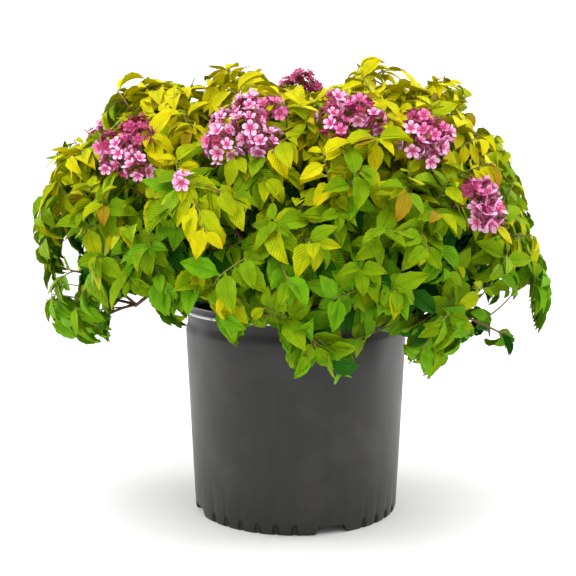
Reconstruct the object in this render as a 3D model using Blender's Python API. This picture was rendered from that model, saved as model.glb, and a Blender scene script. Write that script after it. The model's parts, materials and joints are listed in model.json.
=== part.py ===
"""A golden-leaved spirea in bloom, standing in its nursery pot.

Blender 4.5, metres, +Z up. The origin is on the ground under the middle of the pot, and -Y is the plant's front.
Boughs rise from a low woody stool, and each ends where its mass of foliage begins. A mass keeps to its own share
of the crown. Its stem carries twigs that arch to shoot tips, which are spread over the crown's outline, and
leaves stand round each twig, a golden angle from one to the next.
"""

import math
import random
from collections import namedtuple

import bmesh
import bpy
from mathutils import Matrix, Vector
from mathutils.bvhtree import BVHTree

CLEARANCE = 0.0003  # the gap that pieces keep where they meet
GOLDEN_ANGLE = math.pi * (3 - math.sqrt(5))
SEED = 20

# The pot: a moulded nursery pot, 240 mm across
POT_SIDES = 40
POT_HEIGHT = 0.2285
BEAD_RADIUS = 0.120
BEAD_HEIGHT = 0.2197
BEAD_HALF = 0.0012
COLLAR_RADIUS = 0.1183
COLLAR_FOOT = 0.205
LIP_RADIUS = 0.119
LIP_ROUNDING = 0.001
BODY_TOP_RADIUS = 0.1207
BODY_TOP_HEIGHT = 0.199
BODY_FOOT_RADIUS = 0.1115
WALL = 0.0023
FLOOR_UNDERSIDE = 0.011
FLOOR = 0.003
FOOT_WIDTH = 0.005
FOOT_ROUNDING = 0.004
FOOT_INSET = 0.002
ARCHES = 4  # drain arches through the foot
FIRST_ARCH = 19.0  # degrees from +X
ARCH_ANGLE = 19.0
ARCH_HEIGHT = 0.009
ARCH_NARROWING = 0.78
FLUTES_BETWEEN_ARCHES = 6
FLUTE_SPACING = 10.0
FLUTE_WIDTH = 0.0046
FLUTE_HEIGHT = 0.0095
FLUTE_DEPTH = 0.0036
FLUTE_NARROWING = 0.6

# The potting mix, a little heaped round the stool
SOIL_LEVEL = 0.200
SOIL_EDGE = 0.194
SOIL_SHOULDER = 0.198
SOIL_FLAT_RADIUS = 0.045

# The stool: the short woody foot that every bough grows from
STOOL_FLARE = 0.036
STOOL_RADIUS = 0.024
STOOL_HEIGHT = 0.016
STOOL_SIDES = 12
STUB_RADIUS = 0.0036
STUB_LENGTH = 0.030
STUB_RISE = 0.45  # where a stub's root lies in the stool, as a share of its height

BOUGH_BASE_RADIUS = 0.0032
BOUGH_TIP_RADIUS = 0.0019
BOUGH_SIDES = 5
BOUGH_SEGMENTS = 5

# The crown's outline: a rounded dome above its waist, and nearly upright below it
CROWN_RADIUS = 0.284
CROWN_WAIST = 0.270
CROWN_TOP = 0.482
CROWN_HEM = 0.186
HEM_INNER_RADIUS = 0.150
SHOULDER_POWER = 2.2
HEM_POWER = 6.0
# Where the outline swells or sinks: degrees from +X, height, share of the radius
SWELLS = ((180.0, 0.380, 0.075), (0.0, 0.325, -0.045), (-60.0, 0.300, 0.015), (95.0, 0.360, 0.035))
SWELL_ANGLE = 38.0
SWELL_HEIGHT = 0.060
# Where the hem hangs lower or is lifted: degrees from +X, change of height, half width in degrees
HEM_SHIFTS = ((-80.0, -0.022, 24.0), (-40.0, -0.026, 20.0), (-130.0, 0.030, 14.0), (0.0, -0.010, 25.0))
OUTLINE_SLACK = 0.008  # how far a leaf may stand out of the outline
STRAY_SLACK = 0.014

# Shoots crowd towards the light: how thick they stand at the top and at the hem, against halfway
SHOOT_TIPS = 90
TOP_DENSITY = 1.5
HEM_DENSITY = 0.7
FIRST_TURN = 0.7  # radians
TIP_DEPTH = 0.028  # how far inside the outline a shoot ends
TIP_DEPTH_SPREAD = 0.012
# Shoots that hang below the hem, stand above the crown or fill its front: degrees from +X, radius, height
STRAY_SHOOTS = (
    (-94.0, 0.236, 0.278),
    (-108.0, 0.230, 0.290),
    (-84.0, 0.150, 0.202),
    (-64.0, 0.152, 0.185),
    (-40.0, 0.205, 0.168),
    (-14.0, 0.242, 0.190),
    (-155.0, 0.245, 0.205),
    (60.0, 0.225, 0.185),
    (125.0, 0.225, 0.188),
    (-68.0, 0.085, 0.466),
    (-168.0, 0.185, 0.444),
    (5.0, 0.150, 0.456),
)

TWIG_RADIUS = 0.0021
TWIG_TIP_RADIUS = 0.0013
TWIG_SEGMENTS = 2
TWIG_ARCH = 0.16  # how far a twig arches up, as a share of its span
FLOWER_TWIG_ARCH = 0.05
STEM_SIDES = 4
FORKS = (0.72, 1.0)  # the stretch of a mass's stem that twigs leave from

# Leaves are fewer and larger than the plant's own, so that the crown is as full
LEAF_PLACES = (0.50, 0.63, 0.74, 0.83, 0.91, 0.96, 0.97)  # shares of a twig where a leaf grows
OPEN_LEAF_PLACES = (0.24, 0.40, 0.55, 0.68, 0.81, 0.92, 0.97)  # the same where a mass has no core
FLOWER_LEAF_PLACES = (0.45, 0.62, 0.76)
LEAF_LENGTH = 0.074
LEAF_WIDTH = 0.042
LEAF_THICKNESS = 0.0016
LEAF_SIZES = (0.86, 1.12)
LEAF_WIDEST = 0.42  # where a leaf is widest, as a share of its length
LEAF_FOLD = 0.14  # how far its edges rise, as a share of its width
LEAF_DROOP = 0.12  # how far its tip hangs, as a share of its length
LEAF_SUNK = 0.0004  # how far past the twig's axis its root lies
LEAF_SPREAD = 0.9  # what its direction is mixed from: sideways, along the twig, and down
LEAF_FORWARD = 0.35
LEAF_HANG = (0.25, 0.65)
LEAF_UPTURN = 0.45  # how far its face turns from outwards to the sky
LEAF_EDGE_ON = 0.9
LEAF_TRIES = 14
LEAF_SHRINK = 0.035  # what each further try takes off its size

CORE_WIDENING = 1.5
CORE_FLATTENING = 0.85
CORE_ROUGHNESS = 0.18
SPACE_MARGIN = 0.0006

# Flower heads on the crown's outline: degrees from +X, height, radius of the head
FLOWER_HEADS = (
    (-127.0, 0.394, 0.027),
    (-101.0, 0.412, 0.031),
    (80.0, 0.470, 0.026),
    (-76.0, 0.424, 0.028),
    (-58.0, 0.404, 0.026),
    (-50.0, 0.341, 0.025),
    (-12.0, 0.420, 0.025),
    (22.0, 0.372, 0.028),
    (52.0, 0.430, 0.027),
    (84.0, 0.385, 0.028),
    (118.0, 0.425, 0.026),
    (146.0, 0.365, 0.027),
    (168.0, 0.425, 0.024),
    (-160.0, 0.345, 0.024),
)
HEAD_LOBES = 8
HEAD_LOBE_DEPTH = 0.14
HEAD_SUNK = 0.35  # how far a head's middle lies inside the outline, in its own radii
HEAD_UPTURN = 0.35
HEAD_UNDERSIDE = -0.55  # heights and reaches of the head's outline, in its own radii
HEAD_RINGS = ((0.95, -0.10), (0.68, 0.30))
HEAD_TOP = 0.42
HEAD_ROOM = 1.25  # the space that other masses leave round a head, in its own radii
HEAD_GAP = 1.1  # how near a head a shoot may end, in the head's radii

# A ring of foliage masses. Angles are degrees, and each radius and height is where the mass is centred, where
# its bough ends, or where its stub leaves the stool. lean is the stub's angle from upright.
Ring = namedtuple("Ring", "name count first_angle radius height tip_radius tip_height stub_radius lean core look")
RINGS = (
    Ring("top", 1, 0.0, 0.000, 0.405, 0.000, 0.335, 0.0000, 2.0, 0.050, "gold leaf"),
    Ring("upper", 6, 20.0, 0.148, 0.380, 0.090, 0.328, 0.0095, 24.0, 0.042, "gold leaf"),
    Ring("shoulder", 7, 30.0, 0.213, 0.320, 0.145, 0.306, 0.0175, 44.0, 0.042, "lime leaf"),
    Ring("skirt", 7, 49.0, 0.182, 0.232, 0.146, 0.258, 0.0235, 58.0, 0.0, "green leaf"),
)
# What each material looks like: base colour and roughness
LOOKS = {
    "pot plastic": ((0.075, 0.073, 0.070), 0.45),
    "potting mix": ((0.050, 0.032, 0.022), 0.95),
    "bark": ((0.190, 0.085, 0.045), 0.80),
    "gold leaf": ((0.640, 0.520, 0.010), 0.55),
    "lime leaf": ((0.300, 0.450, 0.010), 0.55),
    "green leaf": ((0.110, 0.300, 0.015), 0.55),
    "blossom": ((0.780, 0.260, 0.480), 0.60),
}

Mass = namedtuple("Mass", "name ring angle centre")
Solid = namedtuple("Solid", "points faces")
FlowerHead = namedtuple("FlowerHead", "centre outwards radius owner")
Shoot = namedtuple("Shoot", "path leaf_places slack")


def clear_scene():
    for thing in list(bpy.data.objects):
        bpy.data.objects.remove(thing)


def make_material(name):
    colour, roughness = LOOKS[name]
    material = bpy.data.materials.new(name)
    material.use_nodes = True
    shader = material.node_tree.nodes["Principled BSDF"]
    shader.inputs["Base Color"].default_value = (*colour, 1)
    shader.inputs["Roughness"].default_value = roughness
    shader.inputs["Metallic"].default_value = 0.0
    return material


def link_mesh(name, mesh, material):
    """A new object of this mesh, in the scene."""
    if material:
        mesh.materials.append(material)
    thing = bpy.data.objects.new(name, mesh)
    bpy.context.scene.collection.objects.link(thing)
    return thing


def add_object(name, solid, material=None):
    """A new object from points and faces."""
    mesh = bpy.data.meshes.new(name)
    mesh.from_pydata(solid.points, [], solid.faces)
    return link_mesh(name, mesh, material)


def shade_round(thing, sharp_angle=35.0):
    thing.data.shade_smooth()
    thing.data.set_sharp_from_angle(angle=math.radians(sharp_angle))


def polar(radius, angle, height):
    """A point from its distance to the axis, its angle from +X in degrees, and its height."""
    turn = math.radians(angle)
    return Vector((radius * math.cos(turn), radius * math.sin(turn), height))


def turn_between(angle, centre):
    """How far one angle in degrees is from another, from -180 to 180."""
    return (angle - centre + 180) % 360 - 180


# Joining and cutting


def combine(target, others, operation):
    """Joins or cuts with one Boolean on a collection, applies it, and removes the collection's objects."""
    helpers = bpy.data.collections.new("helpers")
    bpy.context.scene.collection.children.link(helpers)
    for other in others:
        bpy.context.scene.collection.objects.unlink(other)
        helpers.objects.link(other)
    boolean = target.modifiers.new(operation.lower(), "BOOLEAN")
    boolean.operation = operation
    boolean.operand_type = "COLLECTION"
    boolean.collection = helpers
    boolean.material_mode = "TRANSFER" if operation == "UNION" else "INDEX"
    for solver in ("EXACT", "MANIFOLD"):
        boolean.solver = solver
        graph = bpy.context.evaluated_depsgraph_get()
        result = bpy.data.meshes.new_from_object(target.evaluated_get(graph))
        if keep_largest_body(result):
            break
        print(f"{target.name}: the {solver} solver left it open")
    target.modifiers.clear()
    target.data = result
    for other in list(helpers.objects):
        bpy.data.objects.remove(other)
    bpy.data.collections.remove(helpers)


def keep_largest_body(mesh):
    """Drops loose scraps and the skins of sealed hollows, which are bodies of their own. True if it's closed."""
    shape = bmesh.new()
    shape.from_mesh(mesh)
    unseen = set(shape.verts)
    bodies = []
    while unseen:
        body, frontier = set(), [unseen.pop()]
        while frontier:
            point = frontier.pop()
            body.add(point)
            neighbours = {edge.other_vert(point) for edge in point.link_edges} & unseen
            unseen -= neighbours
            frontier.extend(neighbours)
        bodies.append(body)
    bodies.sort(key=len)
    loose = [point for body in bodies[:-1] for point in body]
    bmesh.ops.delete(shape, geom=loose, context="VERTS")
    bmesh.ops.triangulate(shape, faces=shape.faces)
    closed = all(edge.is_manifold for edge in shape.edges)
    shape.to_mesh(mesh)
    shape.free()
    return closed


# Turned shapes and limbs


def turned(name, profile, sides, material):
    """A solid of revolution from (radius, height) points that begin and end on the axis."""
    shape = bmesh.new()
    points = [shape.verts.new((radius, 0, height)) for radius, height in profile]
    edges = [shape.edges.new(pair) for pair in zip(points, points[1:])]
    whole_turn = {"cent": (0, 0, 0), "axis": (0, 0, 1), "angle": 2 * math.pi, "steps": sides}
    bmesh.ops.spin(shape, geom=points + edges, use_merge=True, **whole_turn)
    bmesh.ops.remove_doubles(shape, verts=shape.verts, dist=1e-6)
    bmesh.ops.recalc_face_normals(shape, faces=shape.faces)
    mesh = bpy.data.meshes.new(name)
    shape.to_mesh(mesh)
    shape.free()
    return link_mesh(name, mesh, material)


def bezier(controls, share):
    """The point at this share of a Bezier curve with any number of control points."""
    points = list(controls)
    while len(points) > 1:
        points = [a.lerp(b, share) for a, b in zip(points, points[1:])]
    return points[0]


def stations(controls, segments):
    """(point, direction) at even steps along a Bezier curve."""
    steps = [b - a for a, b in zip(controls, controls[1:])]
    shares = [step / segments for step in range(segments + 1)]
    return [(bezier(controls, share), bezier(steps, share).normalized()) for share in shares]


def perpendicular(direction):
    """A steady direction at right angles to this one."""
    reference = Vector((0, 0, 1)) if abs(direction.z) < 0.9 else Vector((1, 0, 0))
    return direction.cross(reference).normalized()


def tube(path, base_radius, tip_radius, sides):
    """A closed, tapering limb along a path, whose rings turn with the path and never twist."""
    points, faces = [], []
    across = perpendicular(path[0][1])
    for step, (middle, along) in enumerate(path):
        across = (across - along * across.dot(along)).normalized()
        upright = along.cross(across)
        radius = base_radius + (tip_radius - base_radius) * step / (len(path) - 1)
        for side in range(sides):
            turn = 2 * math.pi * side / sides
            points.append(middle + (across * math.cos(turn) + upright * math.sin(turn)) * radius)
    for step in range(len(path) - 1):
        low, high = step * sides, (step + 1) * sides
        for side in range(sides):
            following = (side + 1) % sides
            faces.append((low + side, low + following, high + following, high + side))
    faces.append(tuple(reversed(range(sides))))
    faces.append(tuple(range(len(points) - sides, len(points))))
    return Solid(points, faces)


# Pot and potting mix


def foot_cutter(angle, width_low, width_high, height, inner, outer):
    """A wedge across the pot's foot, as wide as given at the ground and at its top."""
    outwards, sideways = polar(1, angle, 0), polar(1, angle + 90, 0)
    below = -WALL
    outline = ((-width_low / 2, below), (width_low / 2, below), (width_high / 2, height), (-width_high / 2, height))
    points = []
    for radius in (inner, outer):
        points += [outwards * radius + sideways * across + Vector((0, 0, up)) for across, up in outline]
    faces = [(3, 2, 1, 0), (4, 5, 6, 7)]
    faces += [(side, (side + 1) % 4, (side + 1) % 4 + 4, side + 4) for side in range(4)]
    return add_object("foot_cutter", Solid(points, faces))


def foot_cutters():
    """The drain arches, and the flutes between them."""
    arch_width = 2 * BODY_FOOT_RADIUS * math.sin(math.radians(ARCH_ANGLE / 2))
    arch = (arch_width, arch_width * ARCH_NARROWING, ARCH_HEIGHT, BODY_FOOT_RADIUS - 3 * FOOT_WIDTH)
    flute = (FLUTE_WIDTH, FLUTE_WIDTH * FLUTE_NARROWING, FLUTE_HEIGHT, BODY_FOOT_RADIUS - FLUTE_DEPTH)
    outer = BODY_FOOT_RADIUS + FOOT_WIDTH
    first_flute = (360 / ARCHES - FLUTE_SPACING * (FLUTES_BETWEEN_ARCHES - 1)) / 2
    cutters = []
    for number in range(ARCHES):
        angle = FIRST_ARCH + number * 360 / ARCHES
        cutters.append(foot_cutter(angle, *arch, outer))
        for place in range(FLUTES_BETWEEN_ARCHES):
            cutters.append(foot_cutter(angle + first_flute + place * FLUTE_SPACING, *flute, outer))
    return cutters


def make_pot(material):
    foot_outer = BODY_FOOT_RADIUS - FOOT_INSET
    foot_inner = foot_outer - FOOT_WIDTH
    floor_top = FLOOR_UNDERSIDE + FLOOR
    bead_low, bead_high = BEAD_HEIGHT - BEAD_HALF, BEAD_HEIGHT + BEAD_HALF
    outside = (
        (0, FLOOR_UNDERSIDE),
        (foot_inner, FLOOR_UNDERSIDE),
        (foot_inner, 0),
        (foot_outer, 0),
        (BODY_FOOT_RADIUS, FOOT_ROUNDING),
        (BODY_TOP_RADIUS, BODY_TOP_HEIGHT),
        (COLLAR_RADIUS, COLLAR_FOOT),
        (COLLAR_RADIUS, bead_low - BEAD_HALF),
        (BEAD_RADIUS, bead_low),
        (BEAD_RADIUS, bead_high),
        (LIP_RADIUS, bead_high + BEAD_HALF),
        (LIP_RADIUS, POT_HEIGHT - LIP_ROUNDING),
        (LIP_RADIUS - LIP_ROUNDING, POT_HEIGHT),
    )
    inside = (
        (COLLAR_RADIUS - WALL, POT_HEIGHT),
        (COLLAR_RADIUS - WALL, COLLAR_FOOT),
        (BODY_TOP_RADIUS - WALL, BODY_TOP_HEIGHT),
        (BODY_FOOT_RADIUS - WALL, floor_top),
        (0, floor_top),
    )
    pot = turned("pot", outside + inside, POT_SIDES, material)
    combine(pot, foot_cutters(), "DIFFERENCE")
    shade_round(pot)
    return pot


def make_soil(material):
    """The potting mix fills the pot, just clear of its wall and floor."""
    bottom = FLOOR_UNDERSIDE + FLOOR + CLEARANCE
    bottom_radius = BODY_FOOT_RADIUS - WALL - 1.5 * CLEARANCE
    slope = (BODY_TOP_RADIUS - BODY_FOOT_RADIUS) / (BODY_TOP_HEIGHT - FLOOR_UNDERSIDE - FLOOR)
    edge_radius = bottom_radius + slope * (SOIL_EDGE - bottom)
    profile = (
        (0, bottom),
        (bottom_radius, bottom),
        (edge_radius, SOIL_EDGE),
        ((edge_radius + SOIL_FLAT_RADIUS) / 2, SOIL_SHOULDER),
        (SOIL_FLAT_RADIUS, SOIL_LEVEL),
        (0, SOIL_LEVEL),
    )
    shade_round(turned("soil", profile, POT_SIDES, material))


# The crown and its shares


def swell(angle, height):
    """How much wider or narrower than its plain outline the crown is here, as a factor."""
    factor = 1.0
    for centre, level, amount in SWELLS:
        sideways = turn_between(angle, centre) / SWELL_ANGLE
        factor += amount * math.exp(-(sideways**2) - ((height - level) / SWELL_HEIGHT) ** 2)
    return factor


def hem_height(angle):
    """How low the foliage hangs at this angle."""
    shifts = [amount * math.exp(-((turn_between(angle, at) / width) ** 2)) for at, amount, width in HEM_SHIFTS]
    return CROWN_HEM + sum(shifts)


def crown_radius(angle, height):
    """How far the foliage reaches from the axis at this angle and height."""
    if height > CROWN_WAIST:
        share, power = (height - CROWN_WAIST) / (CROWN_TOP - CROWN_WAIST), SHOULDER_POWER
    else:
        share, power = (CROWN_WAIST - height) / (CROWN_WAIST - hem_height(angle)), HEM_POWER
    return CROWN_RADIUS * max(0.0, 1 - share**power) ** (1 / power) * swell(angle, height)


def crown_normal(point):
    """Which way the crown's surface faces beside this point."""
    rise = point.z - CROWN_WAIST
    reach = CROWN_TOP - CROWN_WAIST if rise > 0 else CROWN_WAIST - CROWN_HEM
    return Vector((point.x / CROWN_RADIUS**2, point.y / CROWN_RADIUS**2, rise / reach**2)).normalized()


def crown_profile(steps=120):
    """(radius, height) points down the plain outline, from the crown's top to the hem's inner edge."""
    points = []
    for step in range(steps + 1):
        angle = math.radians(90 - 180 * step / steps)
        power = SHOULDER_POWER if angle > 0 else HEM_POWER
        reach = CROWN_TOP - CROWN_WAIST if angle > 0 else CROWN_WAIST - CROWN_HEM
        radius = CROWN_RADIUS * abs(math.cos(angle)) ** (2 / power)
        if angle < 0 and radius < HEM_INNER_RADIUS:
            break
        points.append((radius, CROWN_WAIST + math.copysign(reach, angle) * abs(math.sin(angle)) ** (2 / power)))
    return points


def spread_over_crown(count):
    """Points spread over the outline, thicker upwards, with a golden angle from each to the next."""
    profile = crown_profile()
    crowd = [0.0]  # how many shoots, in arbitrary units, stand above each point of the profile
    for (r1, z1), (r2, z2) in zip(profile, profile[1:]):
        density = HEM_DENSITY + (TOP_DENSITY - HEM_DENSITY) * (z1 - CROWN_HEM) / (CROWN_TOP - CROWN_HEM)
        crowd.append(crowd[-1] + math.hypot(r2 - r1, z2 - z1) * (r1 + r2) * density)
    spots = []
    band = 1
    for number in range(count):
        wanted = crowd[-1] * (number + 0.5) / count
        while crowd[band] < wanted:
            band += 1
        share = (wanted - crowd[band - 1]) / (crowd[band] - crowd[band - 1])
        radius = profile[band - 1][0] * (1 - share) + profile[band][0] * share
        height = profile[band - 1][1] * (1 - share) + profile[band][1] * share
        angle = math.degrees(FIRST_TURN + number * GOLDEN_ANGLE) % 360
        if height < CROWN_WAIST:
            lengthening = (CROWN_WAIST - hem_height(angle)) / (CROWN_WAIST - CROWN_HEM)
            height = CROWN_WAIST - (CROWN_WAIST - height) * lengthening
        spots.append(polar(radius * swell(angle, height), angle, height))
    return spots


def within_outline(points, slack):
    """True if no point stands further out of the crown's outline than the slack."""
    for point in points:
        angle = math.degrees(math.atan2(point.y, point.x))
        rise = point.z - CROWN_WAIST
        height = CROWN_WAIST + math.copysign(max(abs(rise) - slack, 0.0), rise)
        if math.hypot(point.x, point.y) > crown_radius(angle, height) + slack:
            return False
    return True


def make_masses():
    masses = []
    for ring in RINGS:
        for number in range(ring.count):
            angle = ring.first_angle + number * 360 / ring.count
            masses.append(Mass(f"{ring.name}_{number + 1}", ring, angle, polar(ring.radius, angle, ring.height)))
    return masses


def nearest_mass(point, masses):
    return min(masses, key=lambda mass: (mass.centre - point).length_squared)


def in_share(points, mass, masses, heads):
    """True if all the points are nearest this mass's centre, and clear of other masses' flower heads."""
    for other in masses:
        if other is mass:
            continue
        between = (other.centre - mass.centre).normalized()
        middle = (other.centre + mass.centre) / 2
        if any((point - middle).dot(between) > -SPACE_MARGIN for point in points):
            return False
    for head in heads:
        room = head.radius * HEAD_ROOM
        if head.owner is not mass and any((point - head.centre).length < room for point in points):
            return False
    return True


# Foliage


def leaf_solid(root, along, face_up, length, width):
    """A leaf of eight faces: folded along its midrib, widest before its middle, with its tip hanging."""
    sideways = along.cross(face_up).normalized()
    normal = sideways.cross(along).normalized()
    belly = root + along * length * LEAF_WIDEST
    edge_rise = normal * width * LEAF_FOLD
    points = [
        root,
        belly + sideways * width / 2 + edge_rise,
        belly - sideways * width / 2 + edge_rise,
        root + along * length - normal * length * LEAF_DROOP,
        belly + normal * LEAF_THICKNESS / 2,
        belly - normal * LEAF_THICKNESS / 2,
    ]
    start, right, left, tip, upper, lower = range(6)
    faces = [
        (start, right, upper),
        (start, upper, left),
        (tip, upper, right),
        (tip, left, upper),
        (start, lower, right),
        (start, left, lower),
        (tip, right, lower),
        (tip, lower, left),
    ]
    return Solid(points, faces)


def head_solid(head):
    """A flower head: a low lobed dome, facing outwards."""
    axis = head.outwards
    across = perpendicular(axis)
    other = axis.cross(across)
    points = [head.centre + axis * head.radius * HEAD_UNDERSIDE]
    for ring, (reach, rise) in enumerate(HEAD_RINGS):
        for lobe in range(HEAD_LOBES):
            turn = 2 * math.pi * (lobe + ring / 2) / HEAD_LOBES
            spoke = (across * math.cos(turn) + other * math.sin(turn)) * (1 - HEAD_LOBE_DEPTH * (lobe % 2))
            points.append(head.centre + (spoke * reach + axis * rise) * head.radius)
    points.append(head.centre + axis * head.radius * HEAD_TOP)
    top = len(points) - 1
    faces = []
    for lobe in range(HEAD_LOBES):
        following = (lobe + 1) % HEAD_LOBES
        low, low_next = 1 + lobe, 1 + following
        high, high_next = 1 + HEAD_LOBES + lobe, 1 + HEAD_LOBES + following
        faces += [(0, low_next, low), (low, low_next, high), (high, low_next, high_next), (high, high_next, top)]
    return Solid(points, faces)


def core_solid(mass, chance):
    """The dense heart of a mass: a rough lump, widest round the crown, that twigs and leaves stand out of."""
    lump = bmesh.new()
    bmesh.ops.create_icosphere(lump, subdivisions=1, radius=mass.ring.core)
    widening = CORE_WIDENING if mass.ring.radius else 1.0
    turn = Matrix.Rotation(math.radians(mass.angle), 3, "Z")
    points = []
    for vertex in lump.verts:
        x, y, z = vertex.co * (1 + chance.uniform(-CORE_ROUGHNESS, CORE_ROUGHNESS))
        points.append(mass.centre + turn @ Vector((x * CORE_FLATTENING, y * widening, z)))
    faces = [tuple(vertex.index for vertex in face.verts) for face in lump.faces]
    lump.free()
    return Solid(points, faces)


def tree_of(solid):
    return BVHTree.FromPolygons(solid.points, solid.faces)


def touches(solid, trees):
    own = tree_of(solid)
    return any(own.overlap(tree) for tree in trees)


def leaves_on(shoot, fits, chance):
    """Leaves round a twig. One that doesn't fit is turned on and shortened, and skipped after its last try."""
    made = []
    turn = chance.uniform(0, 2 * math.pi)
    points = [point for point, _ in shoot.path]
    for place in shoot.leaf_places:
        turn += GOLDEN_ANGLE
        segment, share = divmod(place * (len(points) - 1), 1)
        low, high = points[int(segment)], points[int(segment) + 1]
        spot = low.lerp(high, share)
        along = (high - low).normalized()
        across = perpendicular(along)
        upright = along.cross(across)
        face_up = (crown_normal(spot) + Vector((0, 0, LEAF_UPTURN))).normalized()
        hang = Vector((0, 0, -chance.uniform(*LEAF_HANG)))
        size = chance.uniform(*LEAF_SIZES)
        for attempt in range(LEAF_TRIES):
            spin = turn + attempt * 2 * math.pi / LEAF_TRIES
            around = across * math.cos(spin) + upright * math.sin(spin)
            direction = (around * LEAF_SPREAD + along * LEAF_FORWARD + hang).normalized()
            if abs(direction.dot(face_up)) > LEAF_EDGE_ON:
                continue
            scale = size * (1 - LEAF_SHRINK * attempt)
            root = spot - direction * LEAF_SUNK
            leaf = leaf_solid(root, direction, face_up, LEAF_LENGTH * scale, LEAF_WIDTH * scale)
            if within_outline(leaf.points, shoot.slack) and fits(leaf, made):
                made.append(leaf)
                break
    return made


def shoot_tips(masses, chance):
    """(tip, slack) of each shoot, by the mass whose share of the crown it is in."""
    tips = {mass.name: [] for mass in masses}
    for spot in spread_over_crown(SHOOT_TIPS):
        tip = spot - crown_normal(spot) * (TIP_DEPTH + TIP_DEPTH_SPREAD * chance.random())
        tips[nearest_mass(tip, masses).name].append((tip, OUTLINE_SLACK))
    for angle, radius, height in STRAY_SHOOTS:
        tip = polar(radius, angle, height)
        tips[nearest_mass(tip, masses).name].append((tip, STRAY_SLACK))
    return tips


def make_heads(masses):
    heads = []
    for angle, height, radius in FLOWER_HEADS:
        centre = polar(crown_radius(angle, height) - radius * HEAD_SUNK, angle, height)
        outwards = (crown_normal(centre) + Vector((0, 0, HEAD_UPTURN))).normalized()
        heads.append(FlowerHead(centre, outwards, radius, nearest_mass(centre, masses)))
    return heads


def twig_path(fork, tip, arch):
    """An arching twig: it leaves upwards and outwards, and bends over towards its tip."""
    control = fork.lerp(tip, 0.5) + Vector((0, 0, (tip - fork).length * arch))
    return stations((fork, control, tip), TWIG_SEGMENTS)


def shoots_of(mass, heads, tips, stem, chance):
    """The shoots of a mass: one to each of its flower heads, and one to each tip that no head covers."""
    start, end = stem[0][0], stem[-1][0]
    shoots = []
    for head in heads:
        if head.owner is mass:
            fork = start.lerp(end, chance.uniform(*FORKS))
            shoots.append(Shoot(twig_path(fork, head.centre, FLOWER_TWIG_ARCH), FLOWER_LEAF_PLACES, OUTLINE_SLACK))
    places = LEAF_PLACES if mass.ring.core else OPEN_LEAF_PLACES
    for tip, slack in tips:
        if all((tip - head.centre).length > head.radius * HEAD_GAP for head in heads):
            fork = start.lerp(end, chance.uniform(*FORKS))
            shoots.append(Shoot(twig_path(fork, tip, TWIG_ARCH), places, slack))
    return shoots


def grow_mass(mass, masses, heads, tips, bough_end, obstacles, looks):
    """One mass of foliage, joined into one solid."""
    chance = random.Random(f"{SEED} {mass.name}")
    bough_tip, direction = bough_end
    stem = stations((bough_tip + direction * CLEARANCE, mass.centre), 1)
    pieces = [(tube(stem, BOUGH_TIP_RADIUS, TWIG_RADIUS, STEM_SIDES), looks["bark"])]
    if mass.ring.core:
        pieces.append((core_solid(mass, chance), looks[mass.ring.look]))
    pieces += [(head_solid(head), looks["blossom"]) for head in heads if head.owner is mass]
    body = [tree_of(solid) for solid, _ in pieces]
    twigs = []
    for shoot in shoots_of(mass, heads, tips, stem, chance):
        twig = tube(shoot.path, TWIG_RADIUS, TWIG_TIP_RADIUS, 3)
        beyond_fork = twig.points[3:]
        if in_share(beyond_fork, mass, masses, heads) and not touches(twig, obstacles):
            twigs.append((shoot, tree_of(twig)))
            pieces.append((twig, looks["bark"]))
    leaves = []
    for shoot, own_twig in twigs:
        others = body + [twig for _, twig in twigs if twig is not own_twig]

        def fits(leaf, siblings, others=others):
            if not in_share(leaf.points, mass, masses, heads):
                return False
            return not touches(leaf, obstacles + others + leaves + [tree_of(sibling) for sibling in siblings])

        grown = leaves_on(shoot, fits, chance)
        leaves += [tree_of(leaf) for leaf in grown]
        pieces += [(leaf, looks[mass.ring.look]) for leaf in grown]
    parts = [add_object(mass.name, solid, look) for solid, look in pieces]
    parts[0].name = f"foliage_{mass.name}"
    combine(parts[0], parts[1:], "UNION")
    print(f"{parts[0].name}: {len(leaves)} leaves, {len(parts[0].data.polygons)} triangles")


# Wood


def stub_of(mass):
    """Where a bough leaves the stool: the stub's root, its end and its direction."""
    direction = polar(math.sin(math.radians(mass.ring.lean)), mass.angle, math.cos(math.radians(mass.ring.lean)))
    root = polar(mass.ring.stub_radius, mass.angle, SOIL_LEVEL + STOOL_HEIGHT * STUB_RISE)
    return root, root + direction * STUB_LENGTH, direction


def make_stool(masses, material):
    """The woody foot: a low flared dome with a stub for each bough, cut flat where it stands on the soil."""
    ground = SOIL_LEVEL + CLEARANCE
    profile = (
        (0, ground),
        (STOOL_FLARE, ground),
        (STOOL_FLARE * 0.86, ground + STOOL_HEIGHT * 0.30),
        (STOOL_RADIUS, ground + STOOL_HEIGHT * 0.75),
        (STOOL_RADIUS * 0.5, ground + STOOL_HEIGHT),
        (0, ground + STOOL_HEIGHT * 1.05),
    )
    stool = turned("stool", profile, STOOL_SIDES, material)
    stubs = []
    for mass in masses:
        root, end, _ = stub_of(mass)
        solid = tube(stations((root, end), 1), STUB_RADIUS, BOUGH_BASE_RADIUS, BOUGH_SIDES)
        stubs.append(add_object("stub", solid, material))
    combine(stool, stubs, "UNION")
    shade_round(stool)


def bough_path(mass):
    """From just clear of the stub's end to the bough's tip: rising at first, then arching out towards the mass."""
    _, stub_end, direction = stub_of(mass)
    start = stub_end + direction * CLEARANCE
    tip = polar(mass.ring.tip_radius, mass.angle, mass.ring.tip_height)
    reach = (tip - start).length
    inwards = (tip - mass.centre).normalized()
    return stations((start, start + direction * reach * 0.4, tip + inwards * reach * 0.35, tip), BOUGH_SEGMENTS)


def make_bough(mass, material):
    """One tapering limb. It gives the bough's end and its solid."""
    path = bough_path(mass)
    solid = tube(path, BOUGH_BASE_RADIUS, BOUGH_TIP_RADIUS, BOUGH_SIDES)
    shade_round(add_object(f"bough_{mass.name}", solid, material), sharp_angle=80.0)
    return path[-1], solid


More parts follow.
